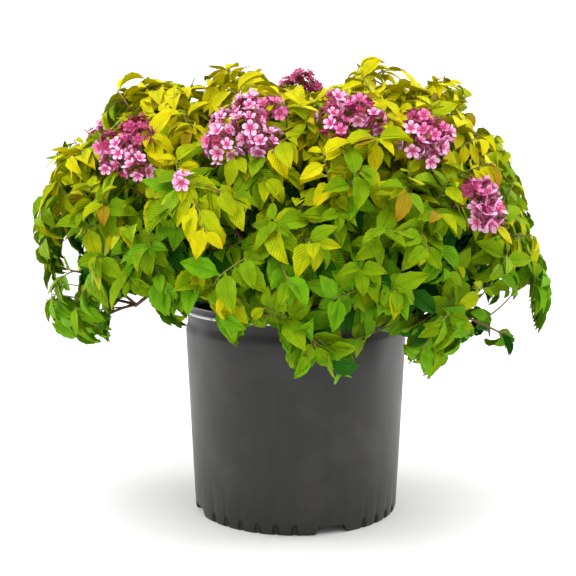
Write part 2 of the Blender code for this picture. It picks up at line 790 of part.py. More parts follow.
def main():
    clear_scene()
    looks = {name: make_material(name) for name in LOOKS}
    pot = make_pot(looks["pot plastic"])
    make_soil(looks["potting mix"])
    masses = make_masses()
    make_stool(masses, looks["bark"])
    boughs = {mass.name: make_bough(mass, looks["bark"]) for mass in masses}
    pot_solid = Solid([v.co.copy() for v in pot.data.vertices], [tuple(p.vertices) for p in pot.data.polygons])
    obstacles = [tree_of(solid) for _, solid in boughs.values()] + [tree_of(pot_solid)]
    heads = make_heads(masses)
    tips = shoot_tips(masses, random.Random(SEED))
    for mass in masses:
        grow_mass(mass, masses, heads, tips[mass.name], boughs[mass.name][0], obstacles, looks)


main()
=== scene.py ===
# %% [markdown]
# # A golden-leaved spirea in its nursery pot
#
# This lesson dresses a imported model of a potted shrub. The model gives the pot, the woody limbs and the space
# that each mass of foliage may fill. Here the pot gets its moulded edges, the limbs their bark, and each mass
# is grown again with the plant's own size of leaf, by the same rule: boughs, twigs that arch to shoot tips
# spread over the crown, and leaves a golden angle apart.

# %% Load the frame
import json
import math
import random
from collections import namedtuple

import bmesh
import bpy
from mathutils import Matrix, Vector, noise

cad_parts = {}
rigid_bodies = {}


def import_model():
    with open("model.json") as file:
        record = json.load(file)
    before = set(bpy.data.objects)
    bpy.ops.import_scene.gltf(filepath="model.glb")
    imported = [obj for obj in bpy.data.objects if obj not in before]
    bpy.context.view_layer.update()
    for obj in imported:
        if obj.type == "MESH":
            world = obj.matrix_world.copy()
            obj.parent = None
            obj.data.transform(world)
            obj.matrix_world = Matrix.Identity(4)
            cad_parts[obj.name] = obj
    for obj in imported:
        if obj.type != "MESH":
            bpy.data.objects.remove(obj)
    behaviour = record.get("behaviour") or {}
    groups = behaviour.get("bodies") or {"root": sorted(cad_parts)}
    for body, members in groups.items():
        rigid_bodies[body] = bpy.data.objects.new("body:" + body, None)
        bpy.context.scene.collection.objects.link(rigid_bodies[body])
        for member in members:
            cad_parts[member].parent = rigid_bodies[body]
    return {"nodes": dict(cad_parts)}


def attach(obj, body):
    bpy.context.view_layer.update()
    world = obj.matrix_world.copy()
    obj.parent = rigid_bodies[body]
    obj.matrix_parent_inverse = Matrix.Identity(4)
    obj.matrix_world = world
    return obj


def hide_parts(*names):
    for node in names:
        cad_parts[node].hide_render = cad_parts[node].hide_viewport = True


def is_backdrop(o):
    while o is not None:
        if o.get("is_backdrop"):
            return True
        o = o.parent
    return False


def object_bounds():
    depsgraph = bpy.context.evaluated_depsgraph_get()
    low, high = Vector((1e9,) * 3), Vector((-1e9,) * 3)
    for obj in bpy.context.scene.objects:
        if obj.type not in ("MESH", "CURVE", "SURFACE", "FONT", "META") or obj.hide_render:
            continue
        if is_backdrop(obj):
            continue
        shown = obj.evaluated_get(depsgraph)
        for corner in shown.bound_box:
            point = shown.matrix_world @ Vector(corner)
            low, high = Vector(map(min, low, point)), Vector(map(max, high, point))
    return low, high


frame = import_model()
cad_box = [list(corner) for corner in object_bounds()]
print(f"{len(frame['nodes'])} nodes, box {cad_box}")

# %% [markdown]
# ## The camera
#
# The photograph was taken from a little above the plant's middle, from about 1.2 m away. A lens of about 69
# mm on the usual 36 mm of film gives the same perspective. The camera looks along +Y and is tilted down a
# little.

# %% Camera
CAMERA_PLACE = (-0.0087, -1.198, 0.386)
CAMERA_TILT = math.radians(6.83)
LENS_MM = 68.75

camera_data = bpy.data.cameras.new("camera")
camera_data.lens = LENS_MM
camera = bpy.data.objects.new("camera", camera_data)
camera.location = CAMERA_PLACE
camera.rotation_euler = (math.pi / 2 - CAMERA_TILT, 0, 0)
bpy.context.scene.collection.objects.link(camera)
bpy.context.scene.camera = camera
print(f"camera {LENS_MM} mm, {math.degrees(CAMERA_TILT):.1f} degrees down")

# %% [markdown]
# ## Formulas for nodes
#
# Node trees get long when each link is written out. `Wire` stands for one output, and sums written with it
# add the Math nodes themselves, so a recipe reads as a formula. `Nodes` adds any node in one call: its
# settings first, and then the values or wires of its inputs.

# %% Wires and node trees
class Wire:
    """One output of a node. Arithmetic on it adds Math nodes."""

    def __init__(self, nodes, socket):
        self.nodes = nodes
        self.socket = socket

    def maths(self, operation, *values):
        return self.nodes.node("ShaderNodeMath", {"operation": operation}, values)

    def __add__(self, other):
        return self.maths("ADD", self, other)

    def __sub__(self, other):
        return self.maths("SUBTRACT", self, other)

    def __rsub__(self, other):
        return self.maths("SUBTRACT", other, self)

    def __mul__(self, other):
        return self.maths("MULTIPLY", self, other)

    def __pow__(self, power):
        return self.maths("POWER", self, power)

    __radd__ = __add__
    __rmul__ = __mul__

    def sine(self):
        return self.maths("SINE", self)

    def size(self):
        return self.maths("ABSOLUTE", self)

    def ramp(self, low, high):
        """0 up to low, 1 from high on, and a straight rise between them."""
        settings = {"clamp": True}
        values = {"Value": self, "From Min": low, "From Max": high}
        return self.nodes.node("ShaderNodeMapRange", settings, values)


class Nodes:
    """A node tree that is being built."""

    def __init__(self, tree):
        self.tree = tree

    def node(self, kind, settings=None, values=(), output=0):
        made = self.tree.nodes.new(kind)
        for setting, value in (settings or {}).items():
            setattr(made, setting, value)
        for place, value in values.items() if isinstance(values, dict) else enumerate(values):
            self.feed(made.inputs[place], value)
        return Wire(self, made.outputs[output])

    def feed(self, socket, value):
        if isinstance(value, Wire):
            self.tree.links.new(value.socket, socket)
        else:
            socket.default_value = value


print("wires ready")

# %% [markdown]
# ## Finishes
#
# Each material is one Principled shader. `Finish` gives it a name and a plain start, and has the few patterns
# that this plant needs: noise in the object's own coordinates, a blend of two colours, and a bump. Only what
# varies over a surface is linked, and the rest is set on the shader's own sockets.

# %% Finish
class Finish(Nodes):
    """A Principled material and the patterns on it."""

    def __init__(self, name, roughness, specular=0.5):
        self.material = bpy.data.materials.new(name)
        self.material.use_nodes = True
        super().__init__(self.material.node_tree)
        self.shader = self.tree.nodes["Principled BSDF"]
        self.shader.inputs["Roughness"].default_value = roughness
        self.shader.inputs["Specular IOR Level"].default_value = specular
        self.place = self.node("ShaderNodeTexCoord", output="Object")

    def noise(self, scale, detail=3.0, stretch=None):
        """Cloudy noise from 0 to 1. stretch scales the object's coordinates first, and so draws it out."""
        place = self.place
        if stretch:
            place = self.node("ShaderNodeMapping", values={"Vector": place, "Scale": stretch})
        return self.node("ShaderNodeTexNoise", values={"Vector": place, "Scale": scale, "Detail": detail})

    def blend(self, share, low, high):
        """A colour between two others."""
        colours = [value if isinstance(value, Wire) else (*value, 1) for value in (low, high)]
        return self.node("ShaderNodeMix", {"data_type": "RGBA"}, {0: share, 6: colours[0], 7: colours[1]}, 2)

    def bump(self, height, distance):
        values = {"Height": height, "Distance": distance}
        self.feed(self.shader.inputs["Normal"], self.node("ShaderNodeBump", values=values))

    def colour(self, value):
        self.feed(self.shader.inputs["Base Color"], value if isinstance(value, Wire) else (*value, 1))

    def roughness(self, value):
        self.feed(self.shader.inputs["Roughness"], value)


def shade(colour, factor):
    return tuple(channel * factor for channel in colour)


def mottled(name, roughness, specular, low, high, clouds, grain):
    """Two colours in clouds of this scale and detail, under a grain of this scale and height."""
    finish = Finish(name, roughness, specular)
    finish.colour(finish.blend(finish.noise(*clouds).ramp(0.35, 0.65), low, high))
    finish.bump(finish.noise(grain[0]), grain[1])
    return finish


print("finishes ready")

# %% [markdown]
# ## Recipes in Geometry Nodes
#
# Leaves, florets and twigs repeat by the thousand, so Geometry Nodes place them. A `Recipe` is such a tree
# with named inputs. It ends in Realize Instances and Set Material, and `run` keeps its result as a plain
# mesh.

# %% Recipe
class Recipe(Nodes):
    """A Geometry Nodes tree with named inputs."""

    def __init__(self, name, inputs):
        super().__init__(bpy.data.node_groups.new(name, "GeometryNodeTree"))
        sockets = self.tree.interface
        sockets.new_socket("Geometry", in_out="INPUT", socket_type="NodeSocketGeometry")
        sockets.new_socket("Geometry", in_out="OUTPUT", socket_type="NodeSocketGeometry")
        for label, kind in {**inputs, "Finish": "Material"}.items():
            sockets.new_socket(label, in_out="INPUT", socket_type=f"NodeSocket{kind}")
        self.given = self.tree.nodes.new("NodeGroupInput")
        inputs = [item for item in sockets.items_tree if item.in_out == "INPUT"]
        self.identifiers = {item.name: item.identifier for item in inputs}

    def given_as(self, label):
        return Wire(self, self.given.outputs[label])

    def attribute(self, name, kind):
        return self.node("GeometryNodeInputNamedAttribute", {"data_type": kind}, {"Name": name})

    def end(self, geometry):
        whole = self.node("GeometryNodeRealizeInstances", values={"Geometry": geometry})
        values = {"Geometry": whole, "Material": self.given_as("Finish")}
        finished = self.node("GeometryNodeSetMaterial", values=values)
        self.tree.links.new(finished.socket, self.tree.nodes.new("NodeGroupOutput").inputs[0])

    def run(self, thing, values):
        """Runs the tree on an object, and leaves the result as its own mesh."""
        modifier = thing.modifiers.new(self.tree.name, "NODES")
        modifier.node_group = self.tree
        for label, value in values.items():
            modifier[self.identifiers[label]] = value
        graph = bpy.context.evaluated_depsgraph_get()
        mesh = bpy.data.meshes.new_from_object(thing.evaluated_get(graph))
        thing.modifiers.clear()
        thing.data = mesh
        return thing


print("recipes ready")

# %% Mesh helpers
def link_mesh(name, points, faces, edges=()):
    """A new object at the origin, in the scene."""
    mesh = bpy.data.meshes.new(name)
    mesh.from_pydata(points, edges, faces)
    thing = bpy.data.objects.new(name, mesh)
    bpy.context.scene.collection.objects.link(thing)
    return thing


def settle(name, shape):
    """A finished bmesh as a new object."""
    thing = link_mesh(name, [], [])
    shape.to_mesh(thing.data)
    shape.free()
    return thing


def faces_between(sides, rings, first=0):
    """The faces between closed rings of points, the first of which starts at this point."""
    faces = []
    for low in range(first, first + (rings - 1) * sides, sides):
        for side in range(sides):
            following = (side + 1) % sides
            faces.append((low + side, low + following, low + sides + following, low + sides + side))
    return faces


def give(thing, name, kind, values):
    """An attribute with a value for each point, or three in a row for a vector."""
    field = "vector" if kind == "FLOAT_VECTOR" else "value"
    thing.data.attributes.new(name, kind, "POINT").data.foreach_set(field, values)


def lay_chart(thing, name, places):
    """A UV map that gives each point its own place."""
    chart = thing.data.uv_layers.new(name=name).uv
    for loop in thing.data.loops:
        chart[loop.index].vector = places[loop.vertex_index]


def keep(thing, slot, *nodes):
    """A finished piece: it rides on the one body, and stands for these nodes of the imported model."""
    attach(thing, "root")
    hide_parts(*nodes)
    thing.data.calc_loop_triangles()
    print(f"{thing.name}: {len(thing.data.loop_triangles)} triangles")


print("helpers ready")

# %% [markdown]
# ## Floor and light
#
# The photograph has a white ground and soft light from all round, as in a small product studio. A pale floor
# and a white world do most of it. The world is dimmer above the camera's side, so that the pot's front stays
# dark, but for a bright band at the horizon all round. Two large soft lamps, one on either side, draw the
# broad upright highlights down the pot's sides, and one above gives the leaves their form.

# %% Stage
FLOOR_RADIUS = 40.0
FRONT_STRENGTH = 0.42
REAR_STRENGTH = 1.35

floor_finish = Finish("studio_floor", 0.9, specular=0.1)
floor_finish.colour(floor_finish.blend(floor_finish.noise(3.0), (0.86, 0.86, 0.86), (0.90, 0.90, 0.90)))
corners = [(FLOOR_RADIUS * x, FLOOR_RADIUS * y, 0) for x, y in ((-1, -1), (1, -1), (1, 1), (-1, 1))]
floor = link_mesh("studio_floor", corners, [(0, 1, 2, 3)])
floor.data.materials.append(floor_finish.material)
floor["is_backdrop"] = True

world = bpy.data.worlds.new("studio")
world.use_nodes = True
sky = Nodes(world.node_tree)
background = world.node_tree.nodes["Background"]
background.inputs["Color"].default_value = (1.0, 1.0, 1.0, 1)
direction = sky.node("ShaderNodeTexCoord", output="Generated")
parts = sky.node("ShaderNodeSeparateXYZ", values=(direction,)).socket.node.outputs
backwards, upwards = Wire(sky, parts["Y"]), Wire(sky, parts["Z"])
rear_light = (backwards + upwards * 1.2).ramp(-0.5, 0.4)
horizon = 1.0 - upwards.size().ramp(0.25, 0.50)
bright = sky.node("ShaderNodeMath", {"operation": "MAXIMUM"}, (rear_light, horizon))
sky.feed(background.inputs["Strength"], bright * (REAR_STRENGTH - FRONT_STRENGTH) + FRONT_STRENGTH)
bpy.context.scene.world = world
bpy.context.scene.view_settings.view_transform = "Standard"

LAMPS = (  # name, place, width, height, watts
    ("lamp_left", (-1.5, 0.25, 0.6), 0.8, 1.6, 16.0),
    ("lamp_right", (1.5, 0.35, 0.6), 0.8, 1.6, 20.0),
    ("lamp_above", (-0.2, -1.0, 1.8), 1.2, 1.0, 18.0),
)
for name, place, width, height, watts in LAMPS:
    lamp = bpy.data.lights.new(name, "AREA")
    lamp.shape = "RECTANGLE"
    lamp.size = width
    lamp.size_y = height
    lamp.energy = watts
    holder = bpy.data.objects.new(name, lamp)
    holder.location = place
    holder.rotation_euler = (Vector((0, 0, 0.25)) - Vector(place)).to_track_quat("-Z", "Y").to_euler()
    bpy.context.scene.collection.objects.link(holder)
print(f"floor {2 * FLOOR_RADIUS:.0f} m wide, {len(LAMPS)} lamps")

# %% [markdown]
# ## The pot
#
# The pot is a thin moulded shell: a flat lip, a bead below it, a slightly narrower collar, and a body that
# tapers to its foot. Such a shape is one profile turned round an axis, so Spin makes it, with enough steps to
# look round. The drain arches and the small flutes in the foot repeat by the same angle. A recipe sets one
# cutter at each place, and one Boolean cuts them all. A narrow bevel then breaks the edges, because a moulded
# edge is never sharp.

# %% Pot profile
POT_STEPS = 160
POT_HEIGHT = 0.2285
BEAD_HEIGHT = 0.2197
WALL = 0.0023
FOOT_RADIUS = 0.1115
FOOT_INNER = 0.1045
OUTSIDE = (  # radius, height
    (0.0, 0.0110), (FOOT_INNER, 0.0110), (FOOT_INNER, 0.0), (0.1095, 0.0), (0.1108, 0.0012),
    (FOOT_RADIUS, 0.0040), (0.1138, 0.0500), (0.1161, 0.1000), (0.1184, 0.1500), (0.1205, 0.1970),
    (0.1205, 0.1990), (0.1200, 0.2015), (0.1190, 0.2052), (0.1184, 0.2078), (0.1183, 0.2095),
    (0.1183, 0.2168), (0.1186, 0.2177), (0.1197, 0.2186), (0.1200, 0.2197), (0.1197, 0.2208),
    (0.1190, 0.2216), (0.1189, 0.2262), (0.1194, 0.2272), (0.1194, 0.2280), (0.1188, POT_HEIGHT),
)
INSIDE = (
    (0.1168, POT_HEIGHT), (0.1161, 0.2278), (0.1160, 0.2050), (0.1183, 0.1990), (0.1092, 0.0140),
    (0.0, 0.0140),
)


def turned(name, profile, steps):
    """A closed solid of revolution from (radius, height) points that begin and end on the axis."""
    shape = bmesh.new()
    points = [shape.verts.new((radius, 0, height)) for radius, height in profile]
    edges = [shape.edges.new(pair) for pair in zip(points, points[1:])]
    whole_turn = {"cent": (0, 0, 0), "axis": (0, 0, 1), "angle": 2 * math.pi, "steps": steps}
    bmesh.ops.spin(shape, geom=points + edges, use_merge=True, **whole_turn)
    bmesh.ops.remove_doubles(shape, verts=shape.verts, dist=1e-6)
    bmesh.ops.recalc_face_normals(shape, faces=shape.faces)
    return settle(name, shape)


pot = turned("nursery_pot", OUTSIDE + INSIDE, POT_STEPS)
print(f"pot profile of {len(OUTSIDE + INSIDE)} points")

# %% Wedge and dimple
DIMPLE_MIDDLE = 0.002
ARCH = (0.0368, 0.0287, 0.009, 0.0965, 0.1165)  # width at the ground and above, height, inner and outer reach
FLUTE = (0.0041, 0.0120, 0.0044, 0.1122)  # half width, top, depth, and how far out its middle is


def wedge(name, width_low, width_high, height, inner, outer):
    """A wedge across the foot at +X, wider at the ground."""
    low, high = width_low / 2, width_high / 2
    outline = ((-low, -WALL), (low, -WALL), (high, height), (-high, height))
    points = [(radius, across, up) for radius in (inner, outer) for across, up in outline]
    return link_mesh(name, points, [(3, 2, 1, 0), (4, 5, 6, 7)] + faces_between(4, 2))


def dimple(name, half_width, top, depth, radius):
    """An upright ellipsoid in the foot's outer face at +X."""
    ball = bmesh.new()
    bmesh.ops.create_uvsphere(ball, u_segments=16, v_segments=10, radius=1.0)
    for vertex in ball.verts:
        x, y, z = vertex.co
        vertex.co = (radius + x * depth, y * half_width, DIMPLE_MIDDLE + z * (top - DIMPLE_MIDDLE))
    return settle(name, ball)


arch_shape = wedge("arch", *ARCH)
flute_shape = dimple("flute", *FLUTE)
print(f"an arch is {1000 * ARCH[0]:.0f} mm wide, and a flute {2000 * FLUTE[0]:.0f} mm")

# %% Cutters round the foot
ARCHES = 4
FIRST_ARCH = math.radians(19.0)
FLUTES = 6
FLUTE_SPACING = math.radians(10.0)

around_foot = Recipe("around_foot", {"Wedge": "Object"})
chosen = {"Object": around_foot.given_as("Wedge")}
places = {
    "Points": around_foot.given_as("Geometry"),
    "Instance": around_foot.node("GeometryNodeObjectInfo", values=chosen, output="Geometry"),
    "Rotation": around_foot.attribute("turn", "FLOAT_VECTOR"),
}
around_foot.end(around_foot.node("GeometryNodeInstanceOnPoints", values=places))


def set_round(name, shape, angles):
    """Copies of a wedge at these angles round the axis."""
    thing = link_mesh(name, [(0, 0, 0)] * len(angles), [])
    give(thing, "turn", "FLOAT_VECTOR", [turn for angle in angles for turn in (0, 0, angle)])
    return around_foot.run(thing, {"Wedge": shape})


arch_angles = [FIRST_ARCH + number * 2 * math.pi / ARCHES for number in range(ARCHES)]
flute_start = (2 * math.pi / ARCHES - FLUTE_SPACING * (FLUTES - 1)) / 2
flute_angles = [arch + flute_start + place * FLUTE_SPACING for arch in arch_angles for place in range(FLUTES)]
cutters = bpy.data.collections.new("foot_cutters")
for cutter in (set_round("arches", arch_shape, arch_angles), set_round("flutes", flute_shape, flute_angles)):
    bpy.context.scene.collection.objects.unlink(cutter)
    cutters.objects.link(cutter)
bpy.context.scene.collection.children.link(cutters)
print(f"{len(arch_angles)} arches, {len(flute_angles)} flutes")

# %% Cut and soften the pot
EDGE_BEVEL = 0.0004

cut = pot.modifiers.new("cut", "BOOLEAN")
cut.operation = "DIFFERENCE"
cut.operand_type = "COLLECTION"
cut.collection = cutters
cut.solver = "EXACT"
soften = pot.modifiers.new("soften", "BEVEL")
soften.width = EDGE_BEVEL
soften.segments = 2
soften.limit_method = "ANGLE"
soften.angle_limit = math.radians(38)
pot_mesh = bpy.data.meshes.new_from_object(pot.evaluated_get(bpy.context.evaluated_depsgraph_get()))
pot.modifiers.clear()
pot.data = pot_mesh
pot.data.shade_smooth()
pot.data.set_sharp_from_angle(angle=math.radians(30))
for thing in (arch_shape, flute_shape, *cutters.objects):
    bpy.data.objects.remove(thing)
bpy.data.collections.remove(cutters)
print(f"pot: {len(pot.data.polygons)} faces")

# %% [markdown]
# ### Pot plastic
#
# The pot is dark grey polypropylene with a satin skin. Up close it has a fine grain from the mould, faint
# upright flow marks, and a little dust where it was handled. The grain is a bump far finer than the pot, and
# the marks are noise drawn out along the height. The bead's crest and the lip's top edge are a little smoother,
# and carry a thin painted highlight in near white.

# %% Pot plastic
POT_GREY = (0.0185, 0.018, 0.0165)

plastic = Finish("pot_plastic", 0.42, specular=0.32)
flow = plastic.noise(14.0, stretch=(6.0, 6.0, 0.5))
scuffs = plastic.noise(90.0, detail=6.0, stretch=(1.0, 1.0, 0.35))
dust = plastic.noise(22.0, detail=5.0).ramp(0.52, 0.80)
base = plastic.blend(flow.ramp(0.30, 0.70), shade(POT_GREY, 0.88), shade(POT_GREY, 1.12))
height = plastic.node("ShaderNodeSeparateXYZ", values=(plastic.place,), output="Z")
# The bead's crest and the lip's top edge: smoother there, and painted near white as a highlight.
crest = 1.0 - (height - BEAD_HEIGHT - 0.0003).size().ramp(0.0009, 0.0018)
lip_edge = height.ramp(POT_HEIGHT - 0.0014, POT_HEIGHT - 0.0004)
rubbed_and_highlight = (crest + lip_edge * 0.7) * scuffs.ramp(0.10, 0.50)
worn = plastic.blend(dust * 0.22, base, (0.10, 0.095, 0.085))
# Painted highlight: near white on the bead's crest and the lip's top edge, over the dusty grey.
plastic.colour(plastic.blend(rubbed_and_highlight * 0.95, worn, (0.90, 0.90, 0.90)))
plastic.roughness(scuffs * 0.16 + dust * 0.10 - rubbed_and_highlight * 0.12 + 0.34)
plastic.bump(plastic.noise(1500.0, detail=2.0) * 0.5 + flow * 0.5, 0.00012)
pot.data.materials.clear()
pot.data.materials.append(plastic.material)
keep(pot, "pot_plastic", "pot")

# %% [markdown]
# ## The potting mix
#
# The mix is shredded bark and peat, heaped a little towards the middle. A turned solid gives its body, noise
# moves its top, and a recipe scatters bark chips over it: flat angular flakes, each turned its own way.

# %% Mix
MIX_LEVEL = 0.200
MIX_PROFILE = (
    (0, 0.0143), (0.1088, 0.0143), (0.1177, 0.1930), (0.1150, 0.1945), (0.1050, 0.1955), (0.0940, 0.1967),
    (0.0830, 0.1976), (0.0720, 0.1985), (0.0610, 0.1992), (0.0500, 0.1998), (0.0400, MIX_LEVEL),
    (0.0300, MIX_LEVEL), (0.0200, MIX_LEVEL), (0.0100, MIX_LEVEL), (0, MIX_LEVEL),
)
MIX_RIM = 0.1940
MIX_ROUGHNESS = 0.0022

mix = turned("potting_mix", MIX_PROFILE, 72)
for vertex in mix.data.vertices:
    if vertex.co.z > MIX_RIM:
        vertex.co.z += MIX_ROUGHNESS * noise.noise(vertex.co * 160) - MIX_ROUGHNESS / 2
mix.data.shade_smooth()
mix_finish = Finish("potting_mix", 0.95, specular=0.2)
grains = mix_finish.noise(260.0, detail=5.0)
mix_finish.colour(mix_finish.blend(grains.ramp(0.35, 0.70), (0.018, 0.011, 0.008), (0.085, 0.050, 0.030)))
mix_finish.bump(grains, 0.0012)
mix.data.materials.append(mix_finish.material)
keep(mix, "potting_mix", "soil")

# %% Scatter recipe
scatter = Recipe("scatter", {"Shapes": "Collection", "Size": "Float"})
shapes = {"Collection": scatter.given_as("Shapes"), "Separate Children": True, "Reset Children": True}
scattered = {
    "Points": scatter.given_as("Geometry"),
    "Instance": scatter.node("GeometryNodeCollectionInfo", values=shapes),
    "Pick Instance": True,
    "Instance Index": scatter.attribute("shape", "INT"),
    "Rotation": scatter.attribute("turn", "FLOAT_VECTOR"),
    "Scale": scatter.attribute("size", "FLOAT") * scatter.given_as("Size"),
}
scatter.end(scatter.node("GeometryNodeInstanceOnPoints", values=scattered))

Spot = namedtuple("Spot", "place axes size shape")  # axes: the columns that a shape's X, Y and Z turn to


def axes_from(along, face_up):
    """Axes with Y along a direction and Z as near as can be to another."""
    sideways = along.cross(face_up).normalized()
    return Matrix((sideways, along, sideways.cross(along))).transposed()


def strew(name, spots, shapes, finish, size=1.0):
    """Copies of the shapes at the spots, as one piece."""
    holder = bpy.data.collections.new(f"{name}_shapes")
    for shape in shapes:
        bpy.context.scene.collection.objects.unlink(shape)
        holder.objects.link(shape)
    thing = link_mesh(name, [spot.place for spot in spots], [])
    give(thing, "turn", "FLOAT_VECTOR", [turn for spot in spots for turn in spot.axes.to_euler()])
    give(thing, "size", "FLOAT", [spot.size for spot in spots])
    give(thing, "shape", "INT", [spot.shape for spot in spots])
    scatter.run(thing, {"Shapes": holder, "Size": size, "Finish": finish.material})
    for shape in shapes:
        holder.objects.unlink(shape)
        bpy.context.scene.collection.objects.link(shape)
    bpy.data.collections.remove(holder)
    return thing


def drop(shapes):
    """The shapes leave the scene once their copies are made."""
    for shape in shapes:
        bpy.data.objects.remove(shape)


print("scatter ready")

# %% Bark chips
CHIPS = 620
CHIP_REACH = 0.1125
CHIP_LIMIT = 0.1150  # the pot's wall, less a little
CHIP_SIZES = (0.0022, 0.0058)
STOOL_ROOM = 0.034
GOLDEN_ANGLE = math.pi * (3 - math.sqrt(5))


def chip_shape(name, chance):
    """An angular flake, longer than wide."""
    flake = bmesh.new()
    bmesh.ops.create_icosphere(flake, subdivisions=1, radius=1.0)
    for vertex in flake.verts:
        x, y, z = vertex.co * chance.uniform(0.7, 1.3)
        vertex.co = (x * 0.45, y, z * 0.22)
    return settle(name, flake)


chance = random.Random(3)
chip_shapes = [chip_shape(f"chip_{number}", chance) for number in range(4)]
chip_spots = []
for number in range(CHIPS):
    radius = CHIP_REACH * math.sqrt((number + 0.5) / CHIPS)
    if radius < STOOL_ROOM:
        continue
    angle = number * GOLDEN_ANGLE
    height = MIX_LEVEL - 0.0055 * max(0.0, radius - 0.045) / 0.07 + chance.uniform(-0.0012, 0.0006)
    spin = Matrix.Rotation(chance.uniform(0, 2 * math.pi), 3, "Z")
    flat = spin @ Matrix.Rotation(chance.gauss(0, 0.35), 3, "X")
    size = chance.uniform(*CHIP_SIZES)
    spot = Vector((radius * math.cos(angle), radius * math.sin(angle), height))
    if radius + size < CHIP_LIMIT:
        chip_spots.append(Spot(spot, flat, size, chance.randrange(len(chip_shapes))))
chip_colours = (0.030, 0.017, 0.011), (0.150, 0.080, 0.045)
chip_finish = mottled("bark_chips", 0.9, 0.25, *chip_colours, (120.0, 3.0), (700.0, 0.0004))
keep(strew("bark_chips", chip_spots, chip_shapes, chip_finish), "potting_mix", "soil")
drop(chip_shapes)

# %% [markdown]
# ## The crown's outline
#
# The foliage fills a rounded dome above its waist and hangs nearly upright below it. It swells to the left,
# sinks to the right, and hangs lowest over the front of the pot. The functions below give that outline, with
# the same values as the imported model, so that whatever grows here keeps to the same reach. Shoot tips are
# spread over it by the golden angle, closer together upwards.

# %% Outline
CROWN_RADIUS = 0.284
CROWN_WAIST = 0.270
CROWN_TOP = 0.482
CROWN_HEM = 0.186
HEM_INNER_RADIUS = 0.150
SHOULDER_POWER = 2.2
HEM_POWER = 6.0
SWELLS = ((180.0, 0.380, 0.075), (0.0, 0.325, -0.045), (-60.0, 0.300, 0.015), (95.0, 0.360, 0.035))
SWELL_ANGLE = 38.0
SWELL_HEIGHT = 0.060
POT_REACH = 0.1207
HEM_SHIFTS = ((-80.0, -0.022, 24.0), (-40.0, -0.026, 20.0), (-130.0, 0.030, 14.0), (0.0, -0.010, 25.0))


def polar(radius, angle, height):
    """A point from its distance to the axis, its angle from +X in degrees, and its height."""
    turn = math.radians(angle)
    return Vector((radius * math.cos(turn), radius * math.sin(turn), height))


def angle_of(point):
    return math.degrees(math.atan2(point.y, point.x))


def turn_between(angle, centre):
    return (angle - centre + 180) % 360 - 180


def bump_at(angle, centre, width):
    return math.exp(-((turn_between(angle, centre) / width) ** 2))


def ramp(value, low, high):
    return max(0.0, min(1.0, (value - low) / (high - low)))


def swell(angle, height):
    """How much further out than a plain dome the crown reaches here, as a factor."""
    factor = 1.0
    for centre, level, amount in SWELLS:
        sideways = turn_between(angle, centre) / SWELL_ANGLE
        factor += amount * math.exp(-(sideways**2) - ((height - level) / SWELL_HEIGHT) ** 2)
    return factor


def hem_height(angle):
    return CROWN_HEM + sum(amount * bump_at(angle, at, width) for at, amount, width in HEM_SHIFTS)


def crown_radius(angle, height):
    """How far the crown reaches from the axis here."""
    if height > CROWN_WAIST:
        share, power = (height - CROWN_WAIST) / (CROWN_TOP - CROWN_WAIST), SHOULDER_POWER
    else:
        share, power = (CROWN_WAIST - height) / (CROWN_WAIST - hem_height(angle)), HEM_POWER
    return CROWN_RADIUS * max(0.0, 1 - share**power) ** (1 / power) * swell(angle, height)


def crown_normal(point):
    """The way that the crown's outline faces near a point."""
    rise = point.z - CROWN_WAIST
    reach = CROWN_TOP - CROWN_WAIST if rise > 0 else CROWN_WAIST - CROWN_HEM
    return Vector((point.x / CROWN_RADIUS**2, point.y / CROWN_RADIUS**2, rise / reach**2)).normalized()


print(f"crown {2 * CROWN_RADIUS:.3f} m wide, top at {CROWN_TOP:.3f} m")

# %% Inside the outline and clear of the pot
def within_outline(points, slack):
    """Whether no point is further outside the outline than the slack."""
    for point in points:
        rise = point.z - CROWN_WAIST
        height = CROWN_WAIST + math.copysign(max(abs(rise) - slack, 0.0), rise)
        if math.hypot(point.x, point.y) > crown_radius(angle_of(point), height) + slack:
            return False
    return True


def clear_of_pot(points, room=0.0035):
    """Whether each point is above the pot's rim, or further out than it."""
    return all(max(point.z - POT_HEIGHT, math.hypot(point.x, point.y) - POT_REACH) > room for point in points)


print(f"the hem hangs to {hem_height(-90):.3f} m at the front")

# %% Shoot tips over the outline
TOP_DENSITY = 1.5
HEM_DENSITY = 0.7
MAIN_TIPS = 90
MAIN_TURN = 0.7


def crown_profile(steps=120):
    """(radius, height) points down the outline, from the crown's top to the hem's inner edge."""
    points = []
    for step in range(steps + 1):
        angle = math.radians(90 - 180 * step / steps)
        power = SHOULDER_POWER if angle > 0 else HEM_POWER
        reach = CROWN_TOP - CROWN_WAIST if angle > 0 else CROWN_WAIST - CROWN_HEM
        radius = CROWN_RADIUS * abs(math.cos(angle)) ** (2 / power)
        if angle < 0 and radius < HEM_INNER_RADIUS:
            break
        rise = math.copysign(reach, angle) * abs(math.sin(angle)) ** (2 / power)
        points.append((radius, CROWN_WAIST + rise))
    return points


